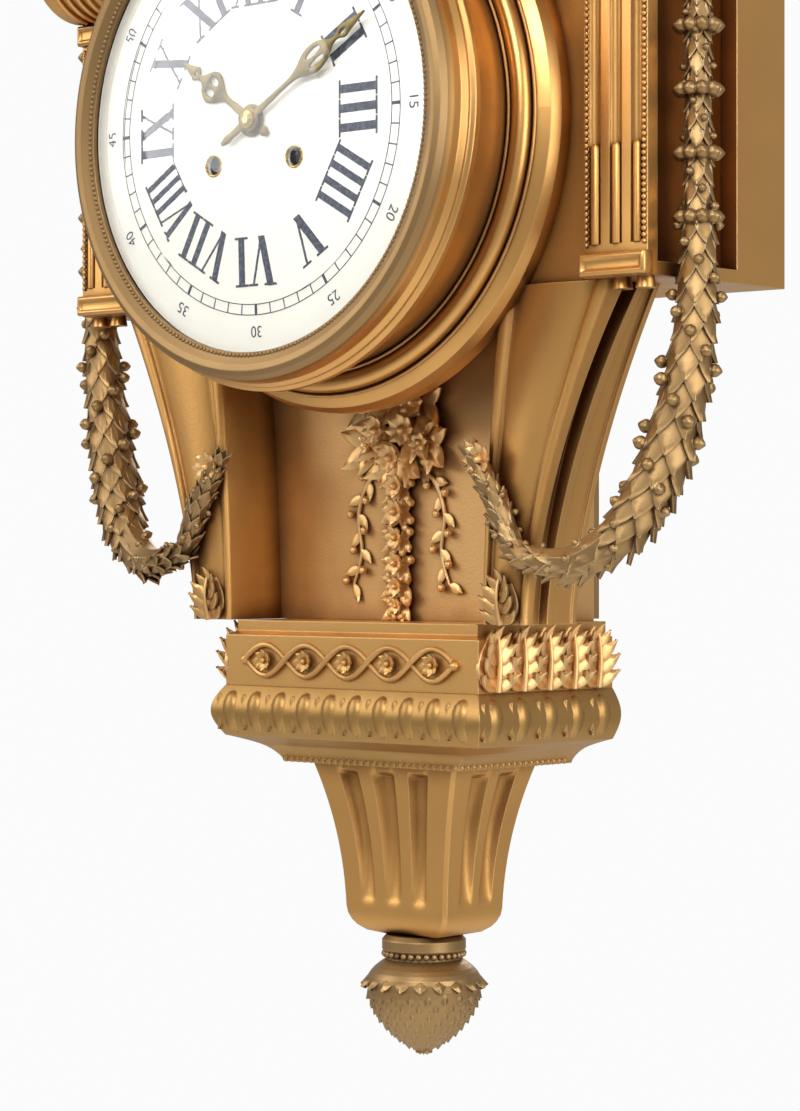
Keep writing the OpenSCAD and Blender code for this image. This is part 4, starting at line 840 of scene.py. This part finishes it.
for side in (-1, 1):
    stem = smoothLine([at(side * x, panelFace + 1, z) for x, z in sprigLine], 5)
    last = len(stem) - 1
    parts.append(sweep(stem, sprayShape["sprig"], [1.2 - 0.6 * i / last for i in range(len(stem))]))
    for k, (place, along, share) in enumerate(stops(stem, sprayShape["sprigPitch"])):
        out = along.cross(front) * (1 if k % 2 else -1)
        leaves.append(stand(place, along + out, front, sprayShape["sprigLeaf"]))
        berries.append(Matrix.Translation(place - out * sprayShape["sprigBerry"] + front * 1.6))
for side in (-1, 1):
    across = side * (garlandEnd.x + endFlower["aside"])
    spot = at(across, console["front"] + endFlower["proud"], garlandEnd.z)
    parts.append(moved(rosette(endFlower["radius"], 8, sprayShape["thick"]), spot))
parts += [copies(blade, leaves), copies(berry, berries)]
# The spray takes the brighter gilt: painted light
complete(joined(parts), "leafSpray", "paintedLightGilt", stands=["leaf_spray"])

# Consoles: a broad rounded band in front, a deep groove behind its outer edge, a sunk panel outside
groove = {"from": 5, "to": 21, "slip": 6}  # slips back towards the top
consoleRows = 28
# Section as shares of the width from the inner edge, and depths short of the front
consoleSection = [(0, 36), (0, 2), (0.02, 0.6), (0.05, 0), (0.1, 0), (0.125, 0.8), (0.14, 2), (0.17, 2.2),
                  (0.2, 1.5), (0.27, 0.6), (0.38, -0.4), (0.5, -0.8), (0.62, -0.4), (0.73, 0.6), (0.8, 1.5),
                  (0.83, 2.2), (0.86, 2), (0.875, 0.8), (0.9, 0), (0.95, 0), (0.98, 0.6), (1, 2), (1, 5.8),
                  (0.84, 6.8), (0.84, 14.5), (1, 15.5), (1, 19.5), (0.97, 20), (0.97, 32.5), (1, 33),
                  (1, 36)]


def consoleRing(rise):
    inner, outer = consoleInner(rise), consoleOuter(rise)
    slip = groove["slip"] * ((rise - base["high"]) / consoleTall) ** 3
    ring = []
    for share, short in consoleSection:
        depth = console["front"] - short - (slip if groove["from"] < short < groove["to"] else 0)
        ring.append(at(inner + (outer - inner) * share, depth, rise))
    return ring


levels = [base["high"] + consoleTall * k / consoleRows for k in range(consoleRows + 1)]
body = lofted([consoleRing(rise) for rise in levels])
other = mirrored(body)
complete(body, "consoleBodyRight", "matGilt", stands=["console_right"])
complete(other, "consoleBodyLeft", "matGilt", stands=["console_left"])

# A small leaf on the foot of each console
footLeaf = extent("console_leaves")
footShape = {"wide": 22, "x": (footLeaf["right"] + base["right"]) / 2 + 0.6}
part = acanthus(footLeaf["high"] - footLeaf["low"], footShape["wide"], 4, 0.2, 1.6)
moved(part, at(footShape["x"], footLeaf["back"] + 0.3, footLeaf["low"]))
complete(bothSides(part), "consoleLeaves", "leafGilt", stands=["console_leaves"])

# Rosettes and spirals on the scrolls
scroll = extent("scroll_right")
scrollShape = {"radius": 30, "rosette": 14, "rosetteRise": 94, "turns": 2.3, "wire": 2.1, "steps": 72,
               "rim": 2.2, "eye": 5, "reeds": (6, 12.5, 19, 25.5), "reed": 1.9, "reedFrom": -84,
               "reedTo": 90}
scrollZ = scroll["high"] - scrollShape["radius"]
scrollDepth = scroll["front"] - scrollShape["radius"]


# A place on the scroll by its distance from the scroll's axis and its turn up from the front
def onScroll(across, reach, turn):
    return at(across, scrollDepth + reach * math.cos(turn), scrollZ + reach * math.sin(turn))


hung = at(scroll["right"], rope["back"] + garland["radius"], scrollShape["rosetteRise"])
flower = moved(rosette(scrollShape["rosette"]), hung, 90, "Z")
shares = [k / scrollShape["steps"] for k in range(scrollShape["steps"] + 1)]
spiral = []
for share in shares:
    reach = (scrollShape["radius"] - scrollShape["rim"]) * (1 - 0.84 * share)
    spiral.append(onScroll(pilaster["right"] + 1.6, reach, -math.tau * scrollShape["turns"] * share))
coil = sweep(spiral, scrollShape["wire"], [1.15 - 0.5 * share for share in shares])
eye = moved(berryBall(scrollShape["eye"]), at(pilaster["right"] + 1, scrollDepth, scrollZ), 90, "Y")
reeds = []
for across in scrollShape["reeds"]:
    arc = [onScroll(pilaster["left"] + across, scrollShape["radius"], math.radians(angle))
           for angle in range(scrollShape["reedFrom"], scrollShape["reedTo"] + 1, 6)]
    reeds.append(sweep(arc, scrollShape["reed"]))
complete(bothSides(joined([flower, coil, eye] + reeds)), "scrollCarving", "burnishedGilt")

# Pilasters: rods in the flutes, beads at the edges, a plinth and a cap
flutes = {"count": 3, "rod": 2.3, "rodSink": 1.2, "rodTop": -18, "rodEnd": 1.8, "low": 14, "bead": 1.15,
          "edge": 1.6, "proud": 0.3}
bands = {"plinth": (0.4, 10), "cap": (-11, -1), "wider": 1.5, "out": 3, "rim": 1.6, "raised": 1.2,
         "fillet": 1.4, "sunk": 1.6}
width = pilaster["right"] - pilaster["left"]
centre = (pilaster["left"] + pilaster["right"]) / 2
foot, top = case["low"] + flutes["low"], flutes["rodTop"]
parts = []
for k in range(flutes["count"]):
    across = pilaster["left"] + width * (k + 0.5) / flutes["count"]
    place = at(across, pilaster["front"] - flutes["rodSink"], (top + foot) / 2)
    rod = settle(fresh(bpy.ops.mesh.primitive_cylinder_add, vertices=14, radius=flutes["rod"],
                       depth=top - foot, location=place))
    pick(rod, "FACE", lambda middle, normal: normal.z > 0.9)
    bpy.ops.mesh.bevel(offset=flutes["rodEnd"], segments=3, affect="EDGES")
    leaveEdit()
    parts.append(rod)
for x in (pilaster["left"] + flutes["edge"], pilaster["right"] - flutes["edge"]):
    depth = pilaster["front"] + flutes["proud"]
    ends = [at(x, depth, rise) for rise in (foot, pilaster["high"] - flutes["low"])]
    parts.append(beadRow(ends, flutes["bead"]))
for level, key in ((case["low"], "plinth"), (pilaster["high"], "cap")):
    low, high = [level + offset for offset in bands[key]]
    place = at(centre, pilaster["front"], (low + high) / 2)
    band = slab(place, (width + bands["wider"], bands["out"] * 2, high - low))
    pick(band, "FACE", lambda middle, normal: normal.y < -0.9)
    bpy.ops.mesh.inset(thickness=bands["rim"])
    bpy.ops.transform.translate(value=(0, -bands["raised"], 0))
    bpy.ops.mesh.inset(thickness=bands["fillet"])
    bpy.ops.transform.translate(value=(0, bands["sunk"], 0))
    leaveEdit()
    modify(band, "BEVEL", width=0.5, segments=2, limit_method="ANGLE")
    parts.append(band)
complete(bothSides(joined(parts)), "pilasterDressing", "burnishedGilt")

# Painted shade: dark sheets laid in the side recesses of the pilasters, behind the garlands
recess = {"back": 40, "front": 7, "inset": 6, "deep": 9, "thick": 0.6, "clear": 0.4, "border": 3,
          "slope": 0.8, "raised": 0.5}
place = at(pilaster["right"] - recess["deep"] + recess["thick"] / 2,
           (recess["back"] + pilaster["front"] - recess["front"]) / 2, (case["low"] + pilaster["high"]) / 2)
long = pilaster["front"] - recess["front"] - recess["back"] - recess["clear"]
tall = pilaster["high"] - case["low"] - 2 * recess["inset"] - recess["clear"]
ground = slab(place, (recess["thick"], long, tall))
pick(ground, "FACE", lambda middle, normal: normal.x > 0.9)
bpy.ops.mesh.inset(thickness=recess["border"])
bpy.ops.mesh.inset(thickness=recess["slope"])
bpy.ops.transform.translate(value=(recess["raised"], 0, 0))
leaveEdit()
complete(bothSides(outward(ground)), "recessShadeSheets", "recessShadeGilt")

# Base block: two strands that cross round flowers on the front, a row of upright leaves on each side
blockShape = {"bandRise": 12.4, "pitch": 26.2, "swing": 7.2, "weave": 0.8, "wire": 1.4, "steps": 110,
              "flower": 5.8, "stud": 2.6, "leaves": 5, "leafTall": 30, "leafWide": 27}
bandZ = base["low"] + blockShape["bandRise"]
parts = []
reach = blockShape["pitch"] * 2.5
for sign in (-1, 1):
    strand = []
    for k in range(blockShape["steps"] + 1):
        x = -reach + 2 * reach * k / blockShape["steps"]
        turn = math.pi * (x / blockShape["pitch"] + 0.5)
        strand.append(at(x, base["front"] + 0.6 + blockShape["weave"] * sign * math.cos(turn),
                         bandZ + sign * blockShape["swing"] * math.sin(turn)))
    parts.append(sweep(strand, blockShape["wire"]))
for side in (-1, 1):
    parts.append(moved(berryBall(blockShape["stud"]), at(side * reach, base["front"] + 0.4, bandZ), 90))
for k in range(-2, 3):
    spot = at(k * blockShape["pitch"], base["front"] + 0.8, bandZ)
    parts.append(moved(rosette(blockShape["flower"], 8, 1), spot))
complete(joined(parts), "baseBlockBand", "blockGilt")
upright = acanthus(blockShape["leafTall"], blockShape["leafWide"], 4, 0.09, 1.8)
places = []
for k in range(blockShape["leaves"]):
    place = base["back"] + 4 + (base["front"] - base["back"] - 6) * (k + 0.5) / blockShape["leaves"]
    places += [stand(at(side * (base["right"] + 0.4), place, base["low"] + 0.8), upward,
                     Vector((side, 0, 0))) for side in (-1, 1)]
# The side leaves take the brighter gilt: painted light
complete(copies(upright, places), "baseBlockLeaves", "paintedLightGilt")

# Moulding under the block: a smooth skin, eggs and darts on its round, beads below its hollow
moulding = extent("base_moulding")
eggs = {"pitch": 15.5, "tall": 9.6, "wide": 5.6, "out": 4.6, "sink": 2.9, "drop": 12, "margin": 12}
darting = {"tall": 17, "wide": 4.4, "thick": 1.6, "out": 1.2, "rise": 8}
mouldingBeads = {"half": 54.9, "back": 10, "depth": 85.7, "rise": 1.5, "bead": 1.7}
roundShape = {"rows": 24, "share": 0.66, "out": 5, "proud": 0.25, "thick": 1.2, "forward": 0.6}
# The hollow below the round: how far it draws in from the block's side, and its share of the way down
hollowLine = [(0.25, 0.66), (-3.2, 0.682), (-9, 0.725), (-14.6, 0.775), (-18.8, 0.835), (-21.8, 0.9),
              (-23.6, 0.955), (-24.4, 1)]


# One level of the smooth skin that covers the moulding on the front and both sides
def skinRing(out, share, forward=1.0):
    rise = moulding["high"] - (moulding["high"] - moulding["low"]) * share
    ring = []
    for inset in (0, roundShape["thick"]):
        depth = base["front"] + out * forward - inset
        path = threeSides(base["right"] + out - inset, base["back"], depth, rise)
        ring += path if inset == 0 else path[::-1]
    return ring


rings = []
for k in range(roundShape["rows"] + 1):
    share = k / roundShape["rows"]
    swell = roundShape["out"] * math.sin(math.pi * share) + roundShape["proud"]
    rings.append(skinRing(swell, roundShape["share"] * share))
for point in smoothLine([Vector(place) for place in hollowLine], 4)[1:]:
    rings.append(skinRing(point.x, point.y, roundShape["forward"]))
skin = lofted(rings)
egg = fresh(bpy.ops.mesh.primitive_uv_sphere_add, segments=12, ring_count=8, radius=1)
egg.scale = (eggs["wide"], eggs["out"], eggs["tall"])
settle(egg)
pick(egg, "VERT", lambda co: co.z < -1)
bpy.ops.transform.resize(value=(0.8, 0.9, 1), center_override=(0, 0, 0))
leaveEdit()
dart = leafBlade(darting["tall"], darting["wide"], darting["thick"], 0.02, 0.3, 4)
places, darts = [], []
for x, d, out in roundTheBlock(moulding["right"], moulding["front"], moulding["back"], eggs["pitch"],
                               eggs["margin"]):
    spot = at(x, d, moulding["high"] - eggs["drop"]) - out * eggs["sink"]
    places.append(stand(spot, upward, out))
    aside = out.cross(upward) * eggs["pitch"] / 2
    darts.append(stand(spot + aside + out * darting["out"] + upward * darting["rise"], -upward, out))
parts = [skin, copies(egg, places), copies(dart, darts)]
pendant = extent("pendant")
line = threeSides(mouldingBeads["half"], mouldingBeads["back"], mouldingBeads["depth"],
                  pendant["high"] + mouldingBeads["rise"])
parts.append(beadRow(line, mouldingBeads["bead"], 2.4))
complete(joined(parts), "mouldingCarving", "baseGilt")

# Fluted pendant: flutes as shares of half the breadth, on the broad and the narrow sides
pendantShape = {"taper": 0.7, "foot": 0.16, "footRound": 0.34, "corner": 1.5, "steps": 48,
                "flutes": ((-0.5, 0, 0.5), (-0.34, 0.34)), "width": 6, "deep": 5.4}
pendantDepth = (pendant["front"] + pendant["back"]) / 2
pendantTall = pendant["high"] - pendant["low"]
pendantHalves = [pendant["right"], (pendant["front"] - pendant["back"]) / 2]


def pendantSide(half, share):
    body = half * (pendantShape["taper"] + (1 - pendantShape["taper"]) * share ** 2.2)
    if share < pendantShape["foot"]:
        left = 1 - share / pendantShape["foot"]
        body -= half * pendantShape["footRound"] * (1 - math.sqrt(max(0, 1 - left ** 2)))
    return body


def pendantRing(share):
    halves = [pendantSide(half, share) for half in pendantHalves]
    ends = held((share - 0.2) / 0.5) ** 0.6 * held((0.965 - share) / 0.03)
    half = pendantShape["width"] * pendantSide(1, share)
    middle = at(0, pendantDepth, pendant["low"] + pendantTall * share)
    ring = []
    for quarter in range(4):
        turn = Matrix.Rotation(quarter * math.pi / 2, 3, "Z")
        wide, deep = halves[quarter % 2], halves[1 - quarter % 2]
        for k in range(pendantShape["steps"] + 1):
            u = (2 * k / pendantShape["steps"] - 1) * (wide - pendantShape["corner"])
            near = min(abs(u - place * wide) for place in pendantShape["flutes"][quarter % 2])
            cut = pendantShape["deep"] * math.sqrt(max(0, 1 - (near / half) ** 2)) * ends
            ring.append(turn @ at(u, deep - cut, 0) + middle)
    return ring


levels = [0.0, 0.02, 0.05, 0.08, 0.12, 0.16, 0.2, 0.21, 0.23, 0.25]
levels += [0.25 + 0.66 * k / 14 for k in range(1, 15)] + [0.935, 0.95, 0.965, 1.0]
complete(lofted([pendantRing(share) for share in levels]), "flutedPendant", "matGilt", stands=["pendant"])

# Cone finial: scales over its core
finial = extent("finial")
cone = {"radius": 27, "tall": 56, "neck": 0.66, "broadest": 0.62, "neckPart": 0.18, "scale": 9, "rows": 10,
        "scalePitch": 8.6, "sink": 1.9, "beadRadius": 18.6, "beadRise": 0.84, "bead": 1.6}


def coneRadius(rise):
    share = rise / (cone["tall"] * cone["broadest"])
    if share <= 1:
        return cone["radius"] * math.sin(math.pi / 2 * max(0.01, share) ** 0.8) ** 0.9
    rest = min(1, (rise / cone["tall"] - cone["broadest"]) / cone["neckPart"])
    return cone["radius"] * (1 - (1 - cone["neck"]) * rest ** 1.8)


scaleLeaf = leafBlade(cone["scale"], cone["scale"] * 0.9, 2.2, 0.05, 0.16, 4, 0.7)
places = []
for row in range(cone["rows"]):
    rise = cone["tall"] * (0.68 - 0.61 * row / (cone["rows"] - 1))
    radius = coneRadius(rise)
    slope = (coneRadius(rise + 1) - coneRadius(rise - 1)) / 2
    size = 0.62 + 0.38 * radius / cone["radius"]
    count = max(5, round(math.tau * radius / cone["scalePitch"]))
    shift = 0.5 * (row % 2)
    for place, out in around(count, radius - cone["sink"], pendantDepth, finial["low"] + rise, shift):
        normal = (out - upward * slope).normalized()
        down = (-upward - out * slope).normalized()
        places.append(stand(place, down + normal * 0.06, normal, size))
scales = copies(scaleLeaf, places)
neckLine = hoopLine(40, cone["beadRadius"], pendantDepth, finial["low"] + cone["tall"] * cone["beadRise"])
complete(joined([scales, beadRow(neckLine, cone["bead"])]), "coneScales", "laurelGilt")

# Collar: a round moulding on its inner edge, with a fine wire each side
collarShape = {"radius": 114.4, "depth": 112.2, "round": 4.9, "wire": 0.8,
               "wires": ((110.4, 116.4), (120.6, 110.9))}
line = circleLine(collarShape["radius"], collarShape["depth"])[:-1]
parts = [sweep(line, collarShape["round"], closed=True, sides=5)]
for radius, depth in collarShape["wires"]:
    parts.append(sweep(circleLine(radius, depth)[:-1], collarShape["wire"], closed=True))
complete(joined(parts), "collarRound", "burnishedGilt")

# Bezel: beads inside its lip
bezelShape = {"lip": 104.6, "depth": 163.9, "bead": 1.0}
lipLine = circleLine(bezelShape["lip"], bezelShape["depth"])
complete(beadRow(lipLine, bezelShape["bead"], 2.4), "bezelBeads", "bezelShadedGilt", body="bezel_frame")

# Cornice: dentils over a row of beads
dentil = {"wide": 4.2, "tall": 5, "out": 3, "pitch": 7.4, "rise": 8.4, "inset": 7.6, "margin": 3}
corniceBeads = {"inset": 11.8, "back": 6, "rise": 2.4, "bead": 1.4}
tooth = slab((0, 0, 0), (dentil["wide"], dentil["out"] * 2, dentil["tall"]))
modify(tooth, "BEVEL", width=0.4, segments=1)
spots = roundTheBlock(cornice["right"] - dentil["inset"], cornice["front"] - dentil["inset"],
                      cornice["back"], dentil["pitch"], dentil["margin"])
teeth = copies(tooth, [stand(at(x, d, cornice["low"] + dentil["rise"]), upward, out) for x, d, out in spots])
line = threeSides(cornice["right"] - corniceBeads["inset"], corniceBeads["back"],
                  cornice["front"] - corniceBeads["inset"], cornice["low"] + corniceBeads["rise"])
complete(joined([teeth, beadRow(line, corniceBeads["bead"], 2.5)]), "corniceDressing", "burnishedGilt")

# Crest: a fan of leaves, each with its turn, size and distance from the axis
crest = extent("crest")
crestLeaf = {"tall": 31, "wide": 22, "rise": 2.5}
crestFan = [(0, 1, 0), (-48, 0.86, -7), (48, 0.86, 7), (-82, 1.1, -22), (82, 1.1, 22)]
parts = []
for turn, size, x in crestFan:
    part = acanthus(crestLeaf["tall"] * size, crestLeaf["wide"] * size, 5, 0.14, 1.5)
    parts.append(moved(part, at(x, crest["front"] + 0.4, crest["low"] + crestLeaf["rise"]), turn, "Y"))
complete(joined(parts), "crestLeaves", "leafGilt")

# Urn: turned with lobes round bowl and cover, rows of beads, its tie rod and nut below, a flame of tongues
urn = extent("urn")
cover = extent("urn_cover")
urnDepth = (urn["front"] + urn["back"]) / 2
urnTall = cover["low"] - crest["high"]
urnRadius = urn["right"]
coverTall = cover["high"] - cover["low"]
urnShape = {"sides": 120, "lobes": 20, "deep": 0.055, "bowl": (0.3, 0.62), "lid": (0.2, 0.78), "rod": 4,
            "nut": (3, 8), "tongues": 9, "tongueWide": 11}
# Rows of beads and of tongues: a share of the radius and of the height, with the beads' radius or the size
urnBeads = [(0.985, 0.815, 1.7), (0.235, 0.245, 1.5), (0.63, 0.03, 1.6)]
flameRows = [(0.2, 0.02, 1), (0.27, 0.22, 0.95), (0.2, 0.42, 0.86)]
# Shares of the greatest radius and of the height, from the foot up
urnLine = [(0.62, 0), (0.62, 0.05), (0.59, 0.062), (0.5, 0.085), (0.38, 0.115), (0.29, 0.155),
           (0.235, 0.2), (0.22, 0.225), (0.25, 0.245), (0.22, 0.265), (0.25, 0.285), (0.36, 0.31),
           (0.62, 0.37), (0.84, 0.46), (0.97, 0.58), (1, 0.7), (0.97, 0.81), (0.985, 0.825),
           (0.96, 0.84), (0.87, 0.86), (0.8, 0.91), (0.83, 0.94), (0.9, 0.96), (0.9, 1)]
coverLine = [(0.86, 0), (0.86, 0.1), (0.83, 0.13), (0.79, 0.17), (0.775, 0.24), (0.74, 0.36), (0.67, 0.5),
             (0.56, 0.64), (0.43, 0.76), (0.3, 0.83), (0.23, 0.88), (0.21, 0.93), (0.24, 0.965), (0.255, 1)]


def turnedWork(profile, low, tall, lobed):
    rings = []
    for point in smoothLine([Vector(place) for place in profile], 4):
        inside = held((point.y - lobed[0]) / (lobed[1] - lobed[0]))
        carve = urnShape["deep"] * math.sin(math.pi * inside) ** 0.5 if 0 < inside < 1 else 0
        ring = []
        for k, (place, out) in enumerate(around(urnShape["sides"], 0, urnDepth, low + tall * point.y)):
            lobe = abs(math.sin(math.pi * urnShape["lobes"] * k / urnShape["sides"]))
            ring.append(place + out * urnRadius * point.x * (1 - carve * (1 - lobe)))
        rings.append(ring)
    return lofted(rings)


def shaft(radius, low, high, sides):
    return lofted([hoopLine(sides, radius, urnDepth, rise)[:-1] for rise in (low, high)])


rod = shaft(urnShape["rod"], urn["low"], crest["high"] + 1, 24)
nut = shaft(urnShape["rod"] * 2, urn["low"] + urnShape["nut"][0], urn["low"] + urnShape["nut"][1], 6)
modify(nut, "BEVEL", width=0.5, segments=2, limit_method="ANGLE")
bowl = turnedWork(urnLine, crest["high"], urnTall, urnShape["bowl"])
complete(joined([bowl, rod, nut]), "urnBody", "burnishedGilt", stands=["urn"])
complete(turnedWork(coverLine, cover["low"], coverTall, urnShape["lid"]), "urnCoverLobed", "burnishedGilt",
         stands=["urn_cover"])
parts = []
for radius, rise, bead in urnBeads:
    hoop = hoopLine(64, urnRadius * radius, urnDepth, crest["high"] + urnTall * rise)
    parts.append(beadRow(hoop, bead, 2.4))
complete(joined(parts), "urnCarving", "leafGilt")
flame = extent("urn_flame")
flameTall = flame["high"] - flame["low"]
tongue = leafBlade(flameTall * 0.62, urnShape["tongueWide"], 2, 0.1, 0.2, 7, 0.9)
places = []
for row, (radius, rise, size) in enumerate(flameRows):
    count = urnShape["tongues"] - 2 * row
    height = flame["low"] + flameTall * rise
    for place, out in around(count, urnRadius * radius, urnDepth, height, 0.3 * row):
        swirl = upward.cross(out)
        places.append(stand(place, upward + swirl * 0.32 - out * 0.16 * row, out, size))
complete(copies(tongue, places), "flameTongues", "leafGilt")

# Dial: hours, minute ring and minutes, printed on the enamel
dial = extent("dial")
dialPrint = {"hourAt": 0.605, "hourTall": 0.215, "hourWide": 1.35, "ring": (0.79, 0.835), "line": 0.2,
             "minuteAt": 0.905, "minuteTall": 7.2, "lift": 0.1, "thick": 0.06, "strokes": (0.6, 1.5)}
dialRadius = dial["right"] - 0.6
dialRim = 158  # depth of the enamel's edge
dialDome = dial["front"] - dialRim


def dialDepth(radius):
    return dialRim + dialDome * (1 - (radius / dialRadius) ** 2)


# Strokes of each letter in shares of its height: foot, top and breadth, then its advance
letters = {"I": ([((0.18, 0), (0.18, 1), 0.17), ((0.18, 0), (0.18, 0.05), 0.36),
                  ((0.18, 0.95), (0.18, 1), 0.36)], 0.38),
           "V": ([((0.38, 0), (0.14, 1), 0.18), ((0.38, 0), (0.62, 1), 0.06), ((0.14, 0.95), (0.14, 1), 0.34),
                  ((0.62, 0.95), (0.62, 1), 0.26)], 0.76),
           "X": ([((0.62, 0), (0.16, 1), 0.18), ((0.16, 0), (0.62, 1), 0.06), ((0.16, 0.95), (0.16, 1), 0.34),
                  ((0.62, 0.95), (0.62, 1), 0.26), ((0.62, 0), (0.62, 0.05), 0.34),
                  ((0.16, 0), (0.16, 0.05), 0.26)], 0.8)}
hours = ["XII", "I", "II", "III", "IIII", "V", "VI", "VII", "VIII", "IX", "X", "XI"]


# Places a flat drawing, x to the right and y up, upright on the dial at an angle from twelve o'clock
def dialPlace(angle, radius):
    upright = Matrix.Translation((0, 0, radius)) @ Matrix.Rotation(math.radians(90), 4, "X")
    return Matrix.Rotation(angle, 4, "Y") @ upright


stroke = fresh(bpy.ops.mesh.primitive_plane_add, size=1)
places = []
tall = dialPrint["hourTall"] * dialRadius
for hour, name in enumerate(hours):
    middle = sum(letters[letter][1] for letter in name) / 2
    squeeze = min(1, dialPrint["hourWide"] / (2 * middle))
    along = -middle
    spot = dialPlace(math.tau * hour / 12, dialPrint["hourAt"] * dialRadius)
    for letter in name:
        strokes, advance = letters[letter]
        for foot, top, breadth in strokes:
            shear = Matrix.Diagonal((breadth * squeeze, top[1] - foot[1], 1, 1))
            shear[0][1] = (top[0] - foot[0]) * squeeze
            centre = Vector(((along + (foot[0] + top[0]) / 2) * squeeze, (foot[1] + top[1]) / 2 - 0.5, 0))
            places.append(spot @ Matrix.Diagonal((tall, tall, 1, 1)) @ Matrix.Translation(centre) @ shear)
        along += advance
ringIn, ringOut = (share * dialRadius for share in dialPrint["ring"])
for minute in range(60):
    breadth = dialPrint["strokes"][minute % 5 == 0]
    places.append(dialPlace(math.tau * minute / 60, (ringIn + ringOut) / 2)
                  @ Matrix.Diagonal((breadth, ringOut - ringIn, 1, 1)))
parts = [copies(stroke, places)]
for radius in (ringIn, ringOut):
    inner, outer = radius - dialPrint["line"], radius + dialPrint["line"]
    ring = settle(fresh(bpy.ops.mesh.primitive_circle_add, vertices=180, radius=inner, rotation=facing))
    editAll(ring)
    bpy.ops.mesh.extrude_region_move()
    bpy.ops.transform.resize(value=(outer / inner,) * 3, center_override=(0, 0, 0))
    leaveEdit()
    parts.append(ring)
for five in range(1, 13):
    words = fresh(bpy.ops.object.text_add)
    words.data.body = str(five * 5)
    words.data.align_x, words.data.align_y = "CENTER", "CENTER"
    words.data.size = dialPrint["minuteTall"]
    bpy.ops.object.convert(target="MESH")
    words = bpy.context.object
    words.data.transform(dialPlace(math.tau * five / 12, dialPrint["minuteAt"] * dialRadius))
    parts.append(words)
printed = joined(parts)
for vertex in printed.data.vertices:
    vertex.co.y = -dialDepth(math.hypot(vertex.co.x, vertex.co.z)) - dialPrint["lift"]
modify(printed, "SOLIDIFY", thickness=dialPrint["thick"], offset=0)
complete(printed, "dialPrint", "dialInk")

# Brass collars in the winding holes
windingHole = {"across": 25, "rise": -18, "away": 31, "radius": 4.7, "wire": 0.55, "lift": 0.1}
rings = []
for side in (-1, 1):
    place = at(side * windingHole["across"], dialDepth(windingHole["away"]) + windingHole["lift"],
               windingHole["rise"])
    ring = fresh(bpy.ops.mesh.primitive_torus_add, major_radius=windingHole["radius"], major_segments=40,
                 minor_radius=windingHole["wire"], minor_segments=8, location=place, rotation=facing)
    rings.append(settle(ring))
complete(joined(rings), "windingCollars", "brass")

# Pierced hands: half outlines from tail to tip, as shares of the length and half breadths
hands = {"hourHandPierced": {"node": "hour_hand", "body": "hour_pipe", "length": 51.5, "hub": 7.2,
                             "bore": 4.64, "wide": 7.4, "turn": -55},
         "minuteHandPierced": {"node": "minute_hand", "body": "minute_arbor", "length": 80.3, "hub": 5.8,
                               "bore": 2.64, "wide": 6.2, "turn": 60}}
handTail = [(-0.24, 0.12), (-0.19, 0.3), (-0.16, 0.22)]
handHalf = [(0.34, 0.16), (0.42, 0.3), (0.5, 0.78), (0.58, 1), (0.66, 0.74), (0.72, 0.24), (0.77, 0.16),
            (0.82, 0.46), (0.88, 0.3), (1, 0.04)]
handEdge = 0.1
# Holes: middle across and along, then half breadth and half length
handHoles = [(0.36, 0.585, 0.26, 0.062), (-0.36, 0.585, 0.26, 0.062), (0, 0.822, 0.16, 0.03)]


def ovalLine(x, y, halfX, halfY, count=28):
    turns = [math.tau * k / count for k in range(count)]
    return [(x + halfX * math.cos(turn), y + halfY * math.sin(turn)) for turn in turns]


for name, hand in hands.items():
    low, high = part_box(hand["node"])
    thick = (high.y - low.y) / mm
    length, wide = hand["length"], hand["wide"]
    tail, blade = [[Vector((wide * across, length * along)) for along, across in line]
                   for line in (handTail, handHalf)]
    turns = [math.radians(angle) for angle in range(-75, 76, 15)]
    hub = [Vector((hand["hub"] * math.cos(turn), hand["hub"] * math.sin(turn))) for turn in turns]
    half = smoothLine(tail, 3) + hub + smoothLine(blade, 4)
    outline = [(p.x, p.y) for p in half] + [(-p.x, p.y) for p in reversed(half)]
    loops = [outline, ovalLine(0, 0, hand["bore"], hand["bore"], 48)]
    loops += [ovalLine(wide * x, length * y, wide * a, length * b) for x, y, a, b in handHoles]
    curve = bpy.data.curves.new(name, "CURVE")
    curve.dimensions = "2D"
    curve.fill_mode = "BOTH"
    curve.bevel_depth = handEdge
    curve.bevel_resolution = 1
    curve.extrude = thick / 2 - handEdge
    for loop in loops:
        spline = curve.splines.new("POLY")
        spline.points.add(len(loop) - 1)
        for i, (x, y) in enumerate(loop):
            spline.points[i].co = (x, y, 0, 1)
        spline.use_cyclic_u = True
    piece = bpy.data.objects.new(name, curve)
    scene.collection.objects.link(piece)
    choose(piece)
    bpy.ops.object.convert(target="MESH")
    piece = bpy.context.view_layer.objects.active
    moved(piece, (0, (low.y + high.y) / 2 / mm, 0), 90)
    piece.data.transform(Matrix.Rotation(math.radians(hand["turn"]), 4, "Y"))
    complete(outward(piece), name, "handGilt", body=hand["body"], stands=[hand["node"]])
